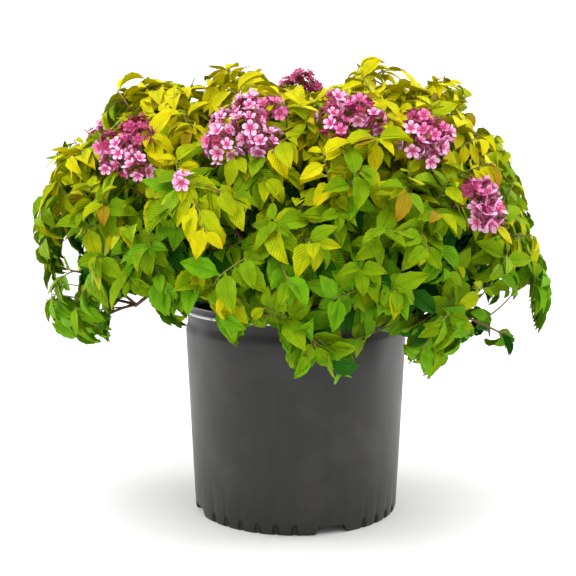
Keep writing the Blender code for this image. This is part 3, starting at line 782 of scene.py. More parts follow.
def spread_over_crown(count, first_turn, hem_density=HEM_DENSITY):
    """Points spread over the outline, thicker upwards, with a golden angle from each to the next."""
    profile = crown_profile()
    crowd = [0.0]
    for (r1, z1), (r2, z2) in zip(profile, profile[1:]):
        density = hem_density + (TOP_DENSITY - hem_density) * (z1 - CROWN_HEM) / (CROWN_TOP - CROWN_HEM)
        crowd.append(crowd[-1] + math.hypot(r2 - r1, z2 - z1) * (r1 + r2) * density)
    spots = []
    band = 1
    for number in range(count):
        wanted = crowd[-1] * (number + 0.5) / count
        while crowd[band] < wanted:
            band += 1
        share = (wanted - crowd[band - 1]) / (crowd[band] - crowd[band - 1])
        radius = profile[band - 1][0] * (1 - share) + profile[band][0] * share
        height = profile[band - 1][1] * (1 - share) + profile[band][1] * share
        angle = math.degrees(first_turn + number * GOLDEN_ANGLE) % 360
        if height < CROWN_WAIST:
            lengthening = (CROWN_WAIST - hem_height(angle)) / (CROWN_WAIST - CROWN_HEM)
            height = CROWN_WAIST - (CROWN_WAIST - height) * lengthening
        spots.append(polar(radius * swell(angle, height), angle, height))
    return spots


print(f"{len(spread_over_crown(MAIN_TIPS, MAIN_TURN))} tips for the main twigs")

# %% [markdown]
# ## Masses and boughs
#
# The crown is shared among 21 masses in four rings. A bough rises from the woody stool to each, arching out
# towards its middle, and ends where the mass begins. There the mass's stem carries on to its middle.

# %% Masses
STOOL_HEIGHT = 0.016
STUB_LENGTH = 0.030
STUB_RISE = 0.45
CLEARANCE = 0.0003

Ring = namedtuple("Ring", "name count first_angle radius height tip_radius tip_height stub_radius lean")
RINGS = (
    Ring("top", 1, 0.0, 0.000, 0.405, 0.000, 0.335, 0.0000, 2.0),
    Ring("upper", 6, 20.0, 0.148, 0.380, 0.090, 0.328, 0.0095, 24.0),
    Ring("shoulder", 7, 30.0, 0.213, 0.320, 0.145, 0.306, 0.0175, 44.0),
    Ring("skirt", 7, 49.0, 0.182, 0.232, 0.146, 0.258, 0.0235, 58.0),
)
Mass = namedtuple("Mass", "name ring angle centre")


def bezier(controls, share):
    points = list(controls)
    while len(points) > 1:
        points = [a.lerp(b, share) for a, b in zip(points, points[1:])]
    return points[0]


def sampled(controls, segments):
    return [bezier(controls, step / segments) for step in range(segments + 1)]


def bough_course(mass):
    """The stub's root in the stool, and the bough's control points from the stub's end to the bough's tip."""
    lean = math.radians(mass.ring.lean)
    direction = polar(math.sin(lean), mass.angle, math.cos(lean))
    root = polar(mass.ring.stub_radius, mass.angle, MIX_LEVEL + STOOL_HEIGHT * STUB_RISE)
    start = root + direction * (STUB_LENGTH + CLEARANCE)
    tip = polar(mass.ring.tip_radius, mass.angle, mass.ring.tip_height)
    reach = (tip - start).length
    inwards = (tip - mass.centre).normalized()
    return root, (start, start + direction * reach * 0.4, tip + inwards * reach * 0.35, tip)


masses = []
for ring in RINGS:
    for number in range(ring.count):
        angle = ring.first_angle + number * 360 / ring.count
        masses.append(Mass(f"{ring.name}_{number + 1}", ring, angle, polar(ring.radius, angle, ring.height)))
print(f"{len(masses)} masses")

# %% [markdown]
# ### Bark
#
# Old spirea wood is thin, reddish brown and finely furrowed along its length, with a slight swelling at each
# node. That relief is in the mesh: rings follow the limb, and noise along it moves each point out or in. The
# stool is a knobbly dome of the same wood, flared where it meets the mix.

# %% Boughs with relief
BOUGH_SIDES = 12
BOUGH_RINGS = 44
STUB_RADIUS = 0.0036
BOUGH_TIP_RADIUS = 0.0019
NODE_SPACING = 0.017
FURROW_DEPTH = 0.14


def perpendicular(direction):
    reference = Vector((0, 0, 1)) if abs(direction.z) < 0.9 else Vector((1, 0, 0))
    return direction.cross(reference).normalized()


def spoke(axis, across, turn):
    """The direction square to an axis that is this far round it from another."""
    return across * math.cos(turn) + axis.cross(across) * math.sin(turn)


def relief(place, along, turn, seed):
    """How far the bark stands out here, as a factor of the limb's radius."""
    furrow = noise.noise(Vector((math.cos(turn) * 2.4, math.sin(turn) * 2.4, along * 60 + seed)))
    knot = math.exp(-((((along + seed * 0.003) % NODE_SPACING) - NODE_SPACING / 2) / 0.0016) ** 2)
    return 1 + FURROW_DEPTH * furrow + 0.10 * knot + 0.06 * noise.noise(place * 300)


def limb_mesh(path, base_radius, tip_radius, seed):
    """Points and faces of one limb with bark relief, closed at both ends."""
    points = []
    along = 0.0
    across = perpendicular(path[1] - path[0])
    for step, middle in enumerate(path):
        before, after = path[max(step - 1, 0)], path[min(step + 1, len(path) - 1)]
        direction = (after - before).normalized()
        along += (middle - before).length
        across = (across - direction * across.dot(direction)).normalized()
        radius = base_radius + (tip_radius - base_radius) * step / (len(path) - 1)
        for side in range(BOUGH_SIDES):
            turn = 2 * math.pi * side / BOUGH_SIDES
            out = spoke(direction, across, turn)
            points.append(middle + out * radius * relief(middle, along, turn, seed))
    ends = [tuple(reversed(range(BOUGH_SIDES))), tuple(range(len(points) - BOUGH_SIDES, len(points)))]
    return points, faces_between(BOUGH_SIDES, len(path)) + ends


wood_points, wood_faces = [], []


def add_wood(points, faces):
    shift = len(wood_points)
    wood_points.extend(points)
    wood_faces.extend(tuple(corner + shift for corner in face) for face in faces)


for number, mass in enumerate(masses):
    root, controls = bough_course(mass)
    path = [root.lerp(controls[0], step / 6) for step in range(6)] + sampled(controls, BOUGH_RINGS)
    path += [controls[-1].lerp(mass.centre, step / 10) for step in range(1, 11)]
    add_wood(*limb_mesh(path, STUB_RADIUS, BOUGH_TIP_RADIUS * 0.9, number * 1.7))
print(f"boughs: {len(wood_faces)} faces")

# %% Stool
STOOL_PROFILE = (
    (0.0362, 0.0), (0.0345, 0.0022), (0.0318, 0.0045), (0.0285, 0.0075), (0.0255, 0.0100), (0.0215, 0.0128),
    (0.0165, 0.0148), (0.0110, 0.0160), (0.0055, 0.0166),
)
STOOL_TOP = 0.0167
STOOL_STEPS = 60

foot_level = MIX_LEVEL + CLEARANCE
stool_points = [Vector((0, 0, foot_level))]
for radius, rise in STOOL_PROFILE:
    for step in range(STOOL_STEPS):
        turn = 2 * math.pi * step / STOOL_STEPS
        out = Vector((math.cos(turn), math.sin(turn), 0))
        knobs = 1 + 0.13 * noise.noise(out * 2.2 + Vector((0, 0, rise * 60))) if rise else 1.0
        stool_points.append(out * radius * knobs + Vector((0, 0, foot_level + rise)))
stool_points.append(Vector((0, 0, foot_level + STOOL_TOP)))
stool_faces = faces_between(STOOL_STEPS, len(STOOL_PROFILE), first=1)
top_ring = len(stool_points) - 1 - STOOL_STEPS
for step in range(STOOL_STEPS):
    following = (step + 1) % STOOL_STEPS
    stool_faces.append((0, 1 + following, 1 + step))
    stool_faces.append((top_ring + step, top_ring + following, len(stool_points) - 1))
add_wood(stool_points, stool_faces)
wood = link_mesh("stool_and_boughs", wood_points, wood_faces)
wood.data.shade_smooth()

bark = Finish("bark", 0.82, specular=0.3)
streaks = bark.noise(170.0, detail=5.0, stretch=(1.0, 1.0, 0.25))
patches = bark.noise(45.0, detail=3.0)
young = bark.blend(streaks.ramp(0.30, 0.70), (0.085, 0.034, 0.020), (0.260, 0.125, 0.070))
bark.colour(bark.blend(patches.ramp(0.50, 0.75), young, (0.210, 0.160, 0.120)))
bark.bump(streaks, 0.0008)
wood.data.materials.append(bark.material)
limbs = [f"bough_{mass.name}" for mass in masses]
keep(wood, "bark", "stool", *limbs)

# %% [markdown]
# ## The crown against the white ground
#
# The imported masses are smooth, but a real shrub's edge is ragged: sprays stand up from it, hang from it and
# leave gaps. Two lines measured in the photograph tell how high and how low its leaves reach, and a few ovals
# where sky shows through. A point is compared with them as the camera sees it, and `ease` lets leaves stand a
# little above the skyline. The comparison is made once, as the leaves grow, so the meshes are the same in
# every view.

# %% Skyline, hemline and sky
# all in metres across and up for each metre of distance, measured in the photograph
SKYLINE = (
    (-0.239, -0.059), (-0.226, -0.046), (-0.222, -0.004), (-0.216, 0.007), (-0.198, 0.011), (-0.165, 0.033),
    (-0.160, 0.061), (-0.138, 0.067), (-0.078, 0.062), (-0.073, 0.077), (-0.055, 0.078), (-0.050, 0.071),
    (-0.024, 0.082), (-0.016, 0.080), (-0.012, 0.058), (0.040, 0.056), (0.053, 0.062), (0.058, 0.081),
    (0.075, 0.087), (0.102, 0.073), (0.127, 0.062), (0.145, 0.072), (0.164, 0.052), (0.168, 0.030),
    (0.178, 0.014), (0.198, 0.010), (0.211, -0.033), (0.217, -0.039), (0.225, -0.085), (0.247, -0.120),
)
HEMLINE = (
    (-0.239, -0.061), (-0.231, -0.072), (-0.226, -0.103), (-0.222, -0.150), (-0.213, -0.166),
    (-0.163, -0.172), (-0.159, -0.136), (-0.133, -0.121), (-0.123, -0.125), (-0.118, -0.151),
    (-0.093, -0.160), (-0.089, -0.128), (-0.067, -0.137), (-0.061, -0.162), (-0.052, -0.170),
    (-0.044, -0.180), (-0.038, -0.155), (-0.008, -0.150), (0.004, -0.210), (0.015, -0.208), (0.021, -0.184),
    (0.036, -0.189), (0.042, -0.210), (0.067, -0.210), (0.072, -0.157), (0.105, -0.170), (0.109, -0.192),
    (0.120, -0.189), (0.129, -0.214), (0.144, -0.210), (0.151, -0.175), (0.167, -0.161), (0.174, -0.183),
    (0.189, -0.166), (0.205, -0.187), (0.211, -0.131), (0.221, -0.131), (0.227, -0.163), (0.235, -0.163),
    (0.247, -0.123),
)
SKY_PATCHES = (  # their middles, half widths and half heights
    (-0.205, -0.050, 0.007, 0.007), (-0.197, -0.085, 0.009, 0.010), (-0.179, -0.074, 0.009, 0.006),
    (-0.195, -0.116, 0.007, 0.014), (0.127, -0.137, 0.008, 0.008), (0.172, -0.130, 0.011, 0.006),
    (0.196, -0.142, 0.011, 0.013), (0.216, -0.131, 0.005, 0.031), (0.176, -0.163, 0.004, 0.009),
    (0.175, -0.070, 0.006, 0.006),
)
EASE = 0.007


def course_at(course, across):
    """How high a course of (across, up) points runs here."""
    for (left, low), (right, high) in zip(course, course[1:]):
        if left <= across <= right:
            return low + (high - low) * (across - left) / (right - left)
    return None


def in_view(point, ease):
    """Whether a point is seen between the hemline and the skyline, and not in a patch of sky."""
    distance = point.y - CAMERA_PLACE[1]
    across = (point.x - CAMERA_PLACE[0]) / distance
    up = (point.z - CAMERA_PLACE[2]) / distance
    low, high = course_at(HEMLINE, across), course_at(SKYLINE, across)
    if low is None or not low <= up <= high + ease:
        return False
    return all(((across - x) / wide) ** 2 + ((up - y) / tall) ** 2 > 1 for x, y, wide, tall in SKY_PATCHES)


print(f"{len(SKYLINE)} points of skyline, {len(HEMLINE)} of hemline")

# %% [markdown]
# ## Growing the twigs
#
# Main twigs leave a mass's stem and arch to the tips that the imported model uses. The plant also has finer
# shoots: many more tips, in four layers from the outline inwards, each grown from the nearest main twig of
# its own mass. The layers matter, because the deep green inner leaves, whose dark tint is partly painted
# shade, are what makes the gaps between the golden ones look deep. A few shoots are listed one by one: those
# that stand up above the crown, and those that hang lowest from its hem, which may fork from the nearest main
# twig of any mass. A tip outside the two lines, or in a flower head, is left out.

# %% Places of the flower heads
FLOWER_HEADS = (  # degrees from +X, height, radius, how far it has faded, and its florets' size
    (-131, 0.390, 0.028, 0.58, 1.0), (-102, 0.412, 0.030, 0.34, 1.0), (87, 0.460, 0.034, 0.72, 1.0),
    (-75.5, 0.422, 0.025, 0.40, 1.0), (-58, 0.404, 0.024, 0.18, 1.0), (-50.5, 0.344, 0.0175, 0.10, 1.4),
    (28, 0.335, 0.025, 0.50, 1.0), (42, 0.378, 0.028, 0.30, 1.0), (52, 0.430, 0.027, 0.70, 1.0),
    (84, 0.385, 0.028, 0.40, 1.0), (118, 0.425, 0.026, 0.60, 1.0), (146, 0.365, 0.027, 0.20, 1.0),
    (164, 0.415, 0.024, 0.80, 1.0), (158, 0.318, 0.024, 0.40, 1.0), (-111.5, 0.366, 0.009, -0.20, 1.15),
)
SINGLE_BLOOM = 0.010  # a head smaller than this is one bloom, which stands this far outside the outline
HEAD_SUNK = 0.35  # how far any other head's middle lies inside it, in its own radii
Head = namedtuple("Head", "centre outwards radius faded floret")


def clear_of_heads(point, share):
    return all((point - head.centre).length >= head.radius * share for head in heads)


heads = []
for angle, height, radius, faded, floret in FLOWER_HEADS:
    proud = SINGLE_BLOOM if radius < SINGLE_BLOOM else -radius * HEAD_SUNK
    centre = polar(crown_radius(angle, height) + proud, angle, height)
    outwards = (crown_normal(centre) + polar(0.9, angle, 0.1)).normalized()
    heads.append(Head(centre, outwards, radius, faded, floret))
print(f"{len(heads)} flower heads")

# %% Main twigs
SEED = 20
TIP_DEPTH = 0.028
FORKS = (0.72, 1.0)
STRAY_SHOOTS = (  # degrees from +X, distance from the axis and height of the tip
    (-94, 0.236, 0.278), (-108, 0.230, 0.290), (-84, 0.150, 0.202), (-64, 0.152, 0.185), (-40, 0.205, 0.168),
    (-14, 0.242, 0.190), (-155, 0.245, 0.205), (60, 0.225, 0.185), (125, 0.225, 0.188), (-68, 0.085, 0.466),
    (-168, 0.185, 0.444), (5, 0.150, 0.456),
)
TWIG_RISE = 0.16  # how high a main twig arches, for a length of one
TWIG_STEPS = 9
TWIG_RADII = (0.0017, 0.0009)
Twig = namedtuple("Twig", "points base tip")


def nearest_mass(point):
    return min(masses, key=lambda mass: (mass.centre - point).length_squared)


chance = random.Random(SEED)
spots = spread_over_crown(MAIN_TIPS, MAIN_TURN)
tips = [spot - crown_normal(spot) * (TIP_DEPTH + 0.012 * chance.random()) for spot in spots]
tips += [polar(radius, angle, height) for angle, radius, height in STRAY_SHOOTS]
tips = [tip for tip in tips if clear_of_heads(tip, 1.1)]
tips += [head.centre - head.outwards * head.radius * 0.7 for head in heads]
main_twigs = {mass.name: [] for mass in masses}
for tip in tips:
    mass = nearest_mass(tip)
    stem_start = bough_course(mass)[1][-1]
    fork = stem_start.lerp(mass.centre, chance.uniform(*FORKS))
    control = fork.lerp(tip, 0.5) + Vector((0, 0, (tip - fork).length * TWIG_RISE))
    path = sampled((fork, control, tip), TWIG_STEPS)
    if clear_of_pot(path) and in_view(tip, EASE):
        main_twigs[mass.name].append(Twig(path, *TWIG_RADII))
all_twigs = [twig for twigs in main_twigs.values() for twig in twigs]
print(f"{len(all_twigs)} main twigs")

# %% Where shoots grow
LAYERS = (  # how many tips, first turn, least and greatest depth, density at the hem
    (400, 0.2, 0.000, 0.032, 0.62),
    (360, 1.9, 0.034, 0.062, 0.45),
    (250, 3.1, 0.075, 0.105, 0.32),
    (130, 4.4, 0.120, 0.160, 0.20),
)
UPRIGHT_SHOOTS = (  # those that stand above the crown: degrees, distance from the axis and height of the tip
    (-20, 0.072, 0.480), (-12, 0.096, 0.475), (-18, 0.160, 0.458), (-178, 0.248, 0.380), (-172, 0.244, 0.385),
    (-4, 0.222, 0.384), (-15, 0.130, 0.474), (-8, 0.180, 0.448), (-35, 0.165, 0.458), (-60, 0.125, 0.466),
    (-150, 0.085, 0.476), (-168, 0.165, 0.458), (-174, 0.190, 0.455), (-178, 0.150, 0.456),
    (-120, 0.040, 0.480), (70, 0.100, 0.474), (130, 0.120, 0.472), (15, 0.170, 0.456), (100, 0.190, 0.448),
)
HANGING_SHOOTS = (  # those that hang lowest
    (-136, 0.172, 0.246), (-124, 0.152, 0.262), (-116, 0.156, 0.256), (-108, 0.186, 0.240),
    (-100, 0.160, 0.250), (-96, 0.140, 0.262), (-88, 0.146, 0.254), (-80, 0.140, 0.262), (-70, 0.146, 0.256),
    (-58, 0.150, 0.258), (-91, 0.202, 0.210), (-89, 0.196, 0.218), (-86, 0.170, 0.236), (-77, 0.202, 0.208),
    (-73, 0.198, 0.214), (-66, 0.170, 0.240), (-62, 0.207, 0.222), (-57, 0.216, 0.196), (-51, 0.200, 0.190),
    (-46, 0.226, 0.214), (-36, 0.221, 0.214), (-24, 0.232, 0.210), (-9, 0.262, 0.224), (-7, 0.268, 0.240),
    (-12, 0.266, 0.256), (-168, 0.237, 0.226), (-160, 0.220, 0.228), (-172, 0.262, 0.240),
    (180, 0.266, 0.318), (176, 0.262, 0.300), (40, 0.230, 0.200), (75, 0.205, 0.190), (105, 0.215, 0.196),
)
SIDE_THINNING = 0.45
OPENINGS = ((-10, 0.70, 40), (178, 0.60, 24))  # degrees, how much is left out there, and how wide
LEAST_SHOOT = 0.028  # a shoot forks at least this far from its tip
SHOOT_STEPS = 6
SHOOT_RADII = (0.0010, 0.0006)
Shoot = namedtuple("Shoot", "twig parent place depth habit")  # it forks from its parent at this place


def grows_here(spot, chance):
    """Shoots are fewer low on the left and right, and fewest where the hem is open."""
    open_here = [share * bump_at(angle_of(spot), centre, width) for centre, share, width in OPENINGS]
    left_out = max(open_here) * ramp(-spot.z, -0.292, -0.242)
    thinned = SIDE_THINNING * ramp(abs(spot.x), 0.16, 0.21) * ramp(-spot.z, -0.350, -0.300)
    return chance.random() > max(left_out, thinned)


def fork_for(tip, habit):
    """The best place to fork from: its worth, its gap to the tip, the place and its main twig."""
    joints = []
    for twig in all_twigs if habit == "hanging" else main_twigs[nearest_mass(tip).name]:
        for place in range(2, TWIG_STEPS):
            point = twig.points[place]
            gap = (tip - point).length
            aside = 0.002 * abs(turn_between(angle_of(tip), angle_of(point))) * (habit == "hanging")
            if gap > LEAST_SHOOT:
                joints.append((gap + 0.004 * place + aside, gap, place, twig))
    return min(joints, default=None)


print(f"{sum(layer[0] for layer in LAYERS)} tips to try in {len(LAYERS)} layers")

# %% Finer shoots
chance = random.Random(SEED + 1)
shoots = [Shoot(twig, twig, TWIG_STEPS, TIP_DEPTH, "usual") for twig in all_twigs]
wanted = [(polar(radius, angle, height), 0.0, "upright") for angle, radius, height in UPRIGHT_SHOOTS]
wanted += [(polar(radius, angle, height), 0.01, "hanging") for angle, radius, height in HANGING_SHOOTS]
for count, first_turn, least, most, hem_density in LAYERS:
    for spot in spread_over_crown(count, first_turn, hem_density):
        depth = chance.uniform(least, most)
        if grows_here(spot, chance):
            wanted.append((spot - crown_normal(spot) * depth, depth, "usual"))
for tip, depth, habit in wanted:
    joint = fork_for(tip, habit)
    if not joint or not in_view(tip, EASE) or not clear_of_heads(tip, 0.9):
        continue
    _, gap, place, parent = joint
    limb = parent.points
    along = (limb[place] - limb[place - 1]).normalized()
    control = limb[place] + along * gap * 0.35 + Vector((0, 0, gap * 0.12))
    path = sampled((limb[place], control, tip), SHOOT_STEPS)
    if clear_of_pot(path):
        shoots.append(Shoot(Twig(path, *SHOOT_RADII), parent, place, depth, habit))
print(f"{len(shoots)} shoots")

# %% Twig recipe
TWIG_SIDES = 5

as_tubes = Recipe("as_tubes", {"Sides": "Int"})
section = {"Resolution": as_tubes.given_as("Sides"), "Radius": 1.0}
tube_values = {
    "Curve": as_tubes.node("GeometryNodeMeshToCurve", values={"Mesh": as_tubes.given_as("Geometry")}),
    "Profile Curve": as_tubes.node("GeometryNodeCurvePrimitiveCircle", values=section),
    "Scale": as_tubes.attribute("thickness", "FLOAT"),
    "Fill Caps": True,
}
as_tubes.end(as_tubes.node("GeometryNodeCurveToMesh", values=tube_values))


def tubes(name, twigs, finish, sides=TWIG_SIDES):
    """All these twigs as one piece of tapering tubes."""
    points, edges, radii = [], [], []
    for twig in twigs:
        last = len(twig.points) - 1
        edges += [(len(points) + step, len(points) + step + 1) for step in range(last)]
        points += twig.points
        radii += [twig.base + (twig.tip - twig.base) * step / last for step in range(last + 1)]
    thing = link_mesh(name, points, [], edges)
    give(thing, "thickness", "FLOAT", radii)
    as_tubes.run(thing, {"Sides": sides, "Finish": finish.material})
    thing.data.shade_smooth()
    return thing


foliage_nodes = [f"foliage_{mass.name}" for mass in masses]
twig_skin = (60.0, 4.0), (900.0, 0.0002)
woody = mottled("twig_bark", 0.7, 0.35, (0.110, 0.042, 0.022), (0.240, 0.115, 0.050), *twig_skin)
green_wood = mottled("young_shoot", 0.6, 0.35, (0.200, 0.110, 0.030), (0.170, 0.210, 0.030), *twig_skin)
print(f"{len(foliage_nodes)} masses to stand for")

# %% [markdown]
# ## Leaves
#
# A spirea leaf is oval with a point, toothed along its edge, folded a little at the midrib, and quilted
# between its side veins. It hangs from a short stalk. A sheet of about forty faces shows all of that. A few
# shapes with a different droop and fold are enough, because each leaf is also turned and sized on its own.

# %% Leaf shapes
LEAF_HALF = 0.242  # half the width, for a length of one
BLADE = (  # share of the length, and half width as a share of the widest
    (0.10, 0.24), (0.17, 0.62), (0.26, 0.88), (0.36, 1.00), (0.47, 0.98), (0.58, 0.88), (0.69, 0.70),
    (0.79, 0.49), (0.88, 0.27), (0.95, 0.11),
)
PLAIN_BLADE = ((0.12, 0.35), (0.33, 1.00), (0.60, 0.88), (0.83, 0.42))
STALK_HALF = 0.014
TOOTH = 0.045
QUILT = 0.012


def leaf_shape(name, blade, columns, droop, fold, curl):
    """A leaf one unit long, along +Y with its upper side up."""
    points = [(-STALK_HALF, 0, 0), (STALK_HALF, 0, 0)]
    flat = [(0.5, 0.0), (0.5, 0.0)]  # across and along the blade, from 0 to 1
    y = z = last = 0.0
    for row, (share, width) in enumerate((*blade, (1.0, 0.0))):
        slope = droop * share**1.3
        y += (share - last) * math.cos(slope)
        z -= (share - last) * math.sin(slope)
        last = share
        if not width:
            points.append((0, y, z))
            flat.append((0.5, 1.0))
            break
        tooth = TOOTH * (1 if row % 2 else -1) * (len(blade) > 5)
        for column in columns:
            edge = abs(column)
            at_edge = edge == 1
            reach = LEAF_HALF * width * column * (1 + tooth * at_edge)
            height = abs(reach) * (fold + curl * edge * share) + QUILT * math.copysign(0 < edge < 1, tooth)
            forward = 0.6 * abs(tooth) * at_edge
            points.append((reach, y + forward + height * math.sin(slope), z + height * math.cos(slope)))
            flat.append((0.5 + reach, share))
    wide = len(columns)
    middle = 2 + wide // 2
    faces = [(0, 1, middle)]
    faces += [(0, place + 1, place) for place in range(2, middle)]
    faces += [(1, place + 1, place) for place in range(middle, 1 + wide)]
    for row in range(len(blade) - 1):
        low = 2 + row * wide
        faces += [(at, at + 1, at + 1 + wide, at + wide) for at in range(low, low + wide - 1)]
    end = 2 + (len(blade) - 1) * wide
    faces += [(end + side, end + side + 1, len(points) - 1) for side in range(wide - 1)]
    thing = link_mesh(name, points, faces)
    thing.data.shade_smooth()
    lay_chart(thing, "leaf", flat)
    return thing


LEAF_FORMS = (  # droop, fold, and how far the edges curl
    (0.35, 0.45, 0.10), (0.80, 0.30, -0.30), (1.15, 0.60, 0.10), (0.20, 0.70, 0.20), (0.60, 0.15, -0.50),
    (0.95, 0.45, 0.40),
)
leaf_shapes = []
for kind, blade, columns in (("leaf", BLADE, (-1, -0.5, 0, 0.5, 1)), ("plain_leaf", PLAIN_BLADE, (-1, 0, 1))):
    leaf_shapes += [leaf_shape(f"{kind}_{n}", blade, columns, *form) for n, form in enumerate(LEAF_FORMS)]
print(f"leaf shapes of {len(leaf_shapes[0].data.polygons)} and {len(leaf_shapes[-1].data.polygons)} faces")

# %% [markdown]
# ### Where the leaves stand, and their tints
#
# Leaves stand round the last few centimetres of a shoot, a golden angle apart and closer towards its tip, and
# droop. A hanging shoot carries more of them, along more of its length, and an upright one holds them up.
# Light turns them gold: the top and the outside are yellow, the sides lime and the hem green. The inside is
# deep green, partly the real darker green of shaded leaves and partly painted shade that darkens the crown's
# inside. Each spray gets its tint from its height and depth, with some chance, and its youngest leaves are
# brighter. A leaf that would leave the outline or the view, or touch a head or the pot, is turned a seventh
# of a turn on, and left out in the end.

# %% Habits and tints
Habit = namedtuple("Habit", "leafed crowding growth more droop")
HABITS = {  # leafed length, crowding to the tip, size of leaf, how many more of them, least and most droop
    "usual": Habit(0.060, 1.7, 1.0, 0, (0.5, 1.5)),
    "upright": Habit(0.060, 1.7, 1.0, 0, (-0.5, 0.3)),
    "hanging": Habit(0.110, 1.1, 1.12, 4, (1.6, 3.0)),
}
LESS_DROOP = 0.55  # how much less the usual leaves droop at the crown's top
LEAF_LENGTHS = (0.022, 0.040)
LEAVES_PER_SHOOT = (11, 15)
LEAST_LEAVES = 4  # a shoot with fewer isn't grown
LEAF_TRIES = 7
INNER_DEPTH = 0.034  # deeper shoots have fewer and plainer leaves
LEAST_RISE = -0.30  # leaves under the hem still face outwards more than down
HEM_SLACK = 0.022
TINTS = {  # the light that a tint starts at, its colour, its tip's colour, and the record's slot
    "gold": (0.72, (0.590, 0.560, 0.002), (0.680, 0.500, 0.002), "foliage_gold"),
    "chartreuse": (0.57, (0.350, 0.435, 0.002), (0.520, 0.480, 0.002), "foliage_gold"),
    "lime": (0.36, (0.175, 0.315, 0.002), (0.265, 0.355, 0.002), "foliage_lime"),
    "green": (0.12, (0.128, 0.330, 0.004), (0.200, 0.380, 0.004), "foliage_green"),
    # The deep tint: partly the real dark green of shaded leaves, partly painted shade for the crown's inside.
    "deep": (-9.0, (0.014, 0.092, 0.003), (0.020, 0.120, 0.003), "foliage_green"),
    "bronze": (99.0, (0.330, 0.250, 0.006), (0.380, 0.140, 0.008), "foliage_gold"),
}
BRONZE_SHARE = 0.08


def tint_for(light, rank, chance):
    """A leaf's tint by its light, with a few bronze ones among the youngest."""
    if rank > 0.8 and light > 0.5 and chance.random() < BRONZE_SHARE:
        return "bronze"
    return next(tint for tint, (least, *_) in TINTS.items() if light >= least)


def light_on(shoot, height):
    """How much light a shoot gets: more with its height, from 0 to 1, and less with its depth."""
    # Deeper shoots get darker tints, down to deep green: partly real shade-grown green, partly painted shade.
    shading = (7.5 - 4.0 * height) * max(0.0, shoot.depth - 0.024)
    return 0.30 + 0.34 * height + 0.28 * height**2 - shading


def leaf_fits(spot, axes, size, bend, slack, ease):
    """Whether a leaf keeps to the outline and the view, and clear of the heads and the pot."""
    end = spot + (axes.col[1] * (1 - 0.13 * bend**2) - axes.col[2] * 0.40 * bend) * size
    middle = spot.lerp(end, 0.5) + axes.col[2] * 0.08 * bend * size
    side = axes.col[0] * LEAF_HALF * size
    if not clear_of_heads(middle, 0.95) or end.z < hem_height(angle_of(end)) - HEM_SLACK:
        return False
    if not all(in_view(point, ease) for point in (spot, end, middle - side, middle + side)):
        return False
    return within_outline((middle, end), slack) and clear_of_pot((middle, end))


print(f"{len(HABITS)} habits, {len(TINTS)} tints")

# %% Leaves of a shoot
def back_from_tip(path, share):
    """The place that lies this share of a path back from its tip, and the way that the path runs there."""
    place = max(0.0, 1 - share) * (len(path) - 1)
    low = min(int(place), len(path) - 2)
    return path[low].lerp(path[low + 1], place - low), (path[low + 1] - path[low]).normalized()


def leaves_of(shoot, chance):
    """The leaves of a shoot that fit, each with its tint."""
    own = []
    path = shoot.twig.points
    length = sum((b - a).length for a, b in zip(path, path[1:]))
    habit, usual, inner = HABITS[shoot.habit], shoot.habit == "usual", shoot.depth > INNER_DEPTH
    count = chance.randint(*LEAVES_PER_SHOOT) - 3 * inner + habit.more
    height = (path[-1].z - CROWN_HEM) / (CROWN_TOP - CROWN_HEM)
    light = light_on(shoot, height) + chance.gauss(0, 0.10)
    turn = chance.uniform(0, 2 * math.pi)
    slack, ease = 0.018, EASE
    if usual:
        slack, ease = chance.uniform(-0.004, 0.009), chance.uniform(-0.002, EASE)
    droop = chance.uniform(*(amount - LESS_DROOP * height * usual for amount in habit.droop))
    for number in range(count):
        rank = (number + 0.5) / count
        turn += GOLDEN_ANGLE
        back = min(habit.leafed, length * 0.85) * (1 - rank) ** habit.crowding
        spot, along = back_from_tip(path, back / length)
        across = perpendicular(along)
        outwards = crown_normal(spot)
        outwards.z = max(outwards.z, LEAST_RISE)
        wander = Vector((chance.gauss(0, 0.28), chance.gauss(0, 0.28), 0.25 + chance.gauss(0, 0.22)))
        face_up = (outwards.normalized() + wander).normalized()
        hang = Vector((0, 0, -droop - chance.gauss(0, 0.2)))
        size = habit.growth * chance.uniform(*LEAF_LENGTHS) * (1 - 0.55 * rank**6)
        form = chance.randrange(len(LEAF_FORMS))
        tint = tint_for(light + 0.16 * (rank - 0.5) + chance.gauss(0, 0.06), rank, chance)
        for attempt in range(LEAF_TRIES):
            around = spoke(along, across, turn + attempt * 2 * math.pi / LEAF_TRIES)
            direction = (around * 0.9 + along * (0.15 + 0.55 * rank) + hang).normalized()
            if abs(direction.dot(face_up)) > 0.80:
                continue
            axes = axes_from(direction, face_up)
            if leaf_fits(spot, axes, size, LEAF_FORMS[form][0], slack, ease):
                own.append((tint, Spot(spot, axes, size, form + len(LEAF_FORMS) * inner)))
                break
    return own


print(f"{LEAVES_PER_SHOOT[0]} to {LEAVES_PER_SHOOT[1]} leaves on a shoot")

# %% Leaf spots
chance = random.Random(SEED + 2)
leaf_spots = {tint: [] for tint in TINTS}
leafy = []
reach = {}  # how far along each main twig something grows
for shoot in shoots:
    own = leaves_of(shoot, chance)
    if len(own) < LEAST_LEAVES:
        continue
    leafy.append(shoot.twig)
    key = id(shoot.parent)
    reach[key] = max(reach.get(key, 0), shoot.place)
    for tint, leaf in own:
        leaf_spots[tint].append(leaf)
print({tint: len(spots) for tint, spots in leaf_spots.items()})

# %% Twig pieces
finer = [twig for twig in leafy if twig.base == SHOOT_RADII[0]]
keep(tubes("young_shoots", finer, green_wood), "bark", *foliage_nodes)
bearing = [twig for twig in all_twigs if id(twig) in reach]
bearing = [twig._replace(points=twig.points[: reach[id(twig)] + 1]) for twig in bearing]
keep(tubes("woody_twigs", bearing, woody, 6), "bark", *foliage_nodes)

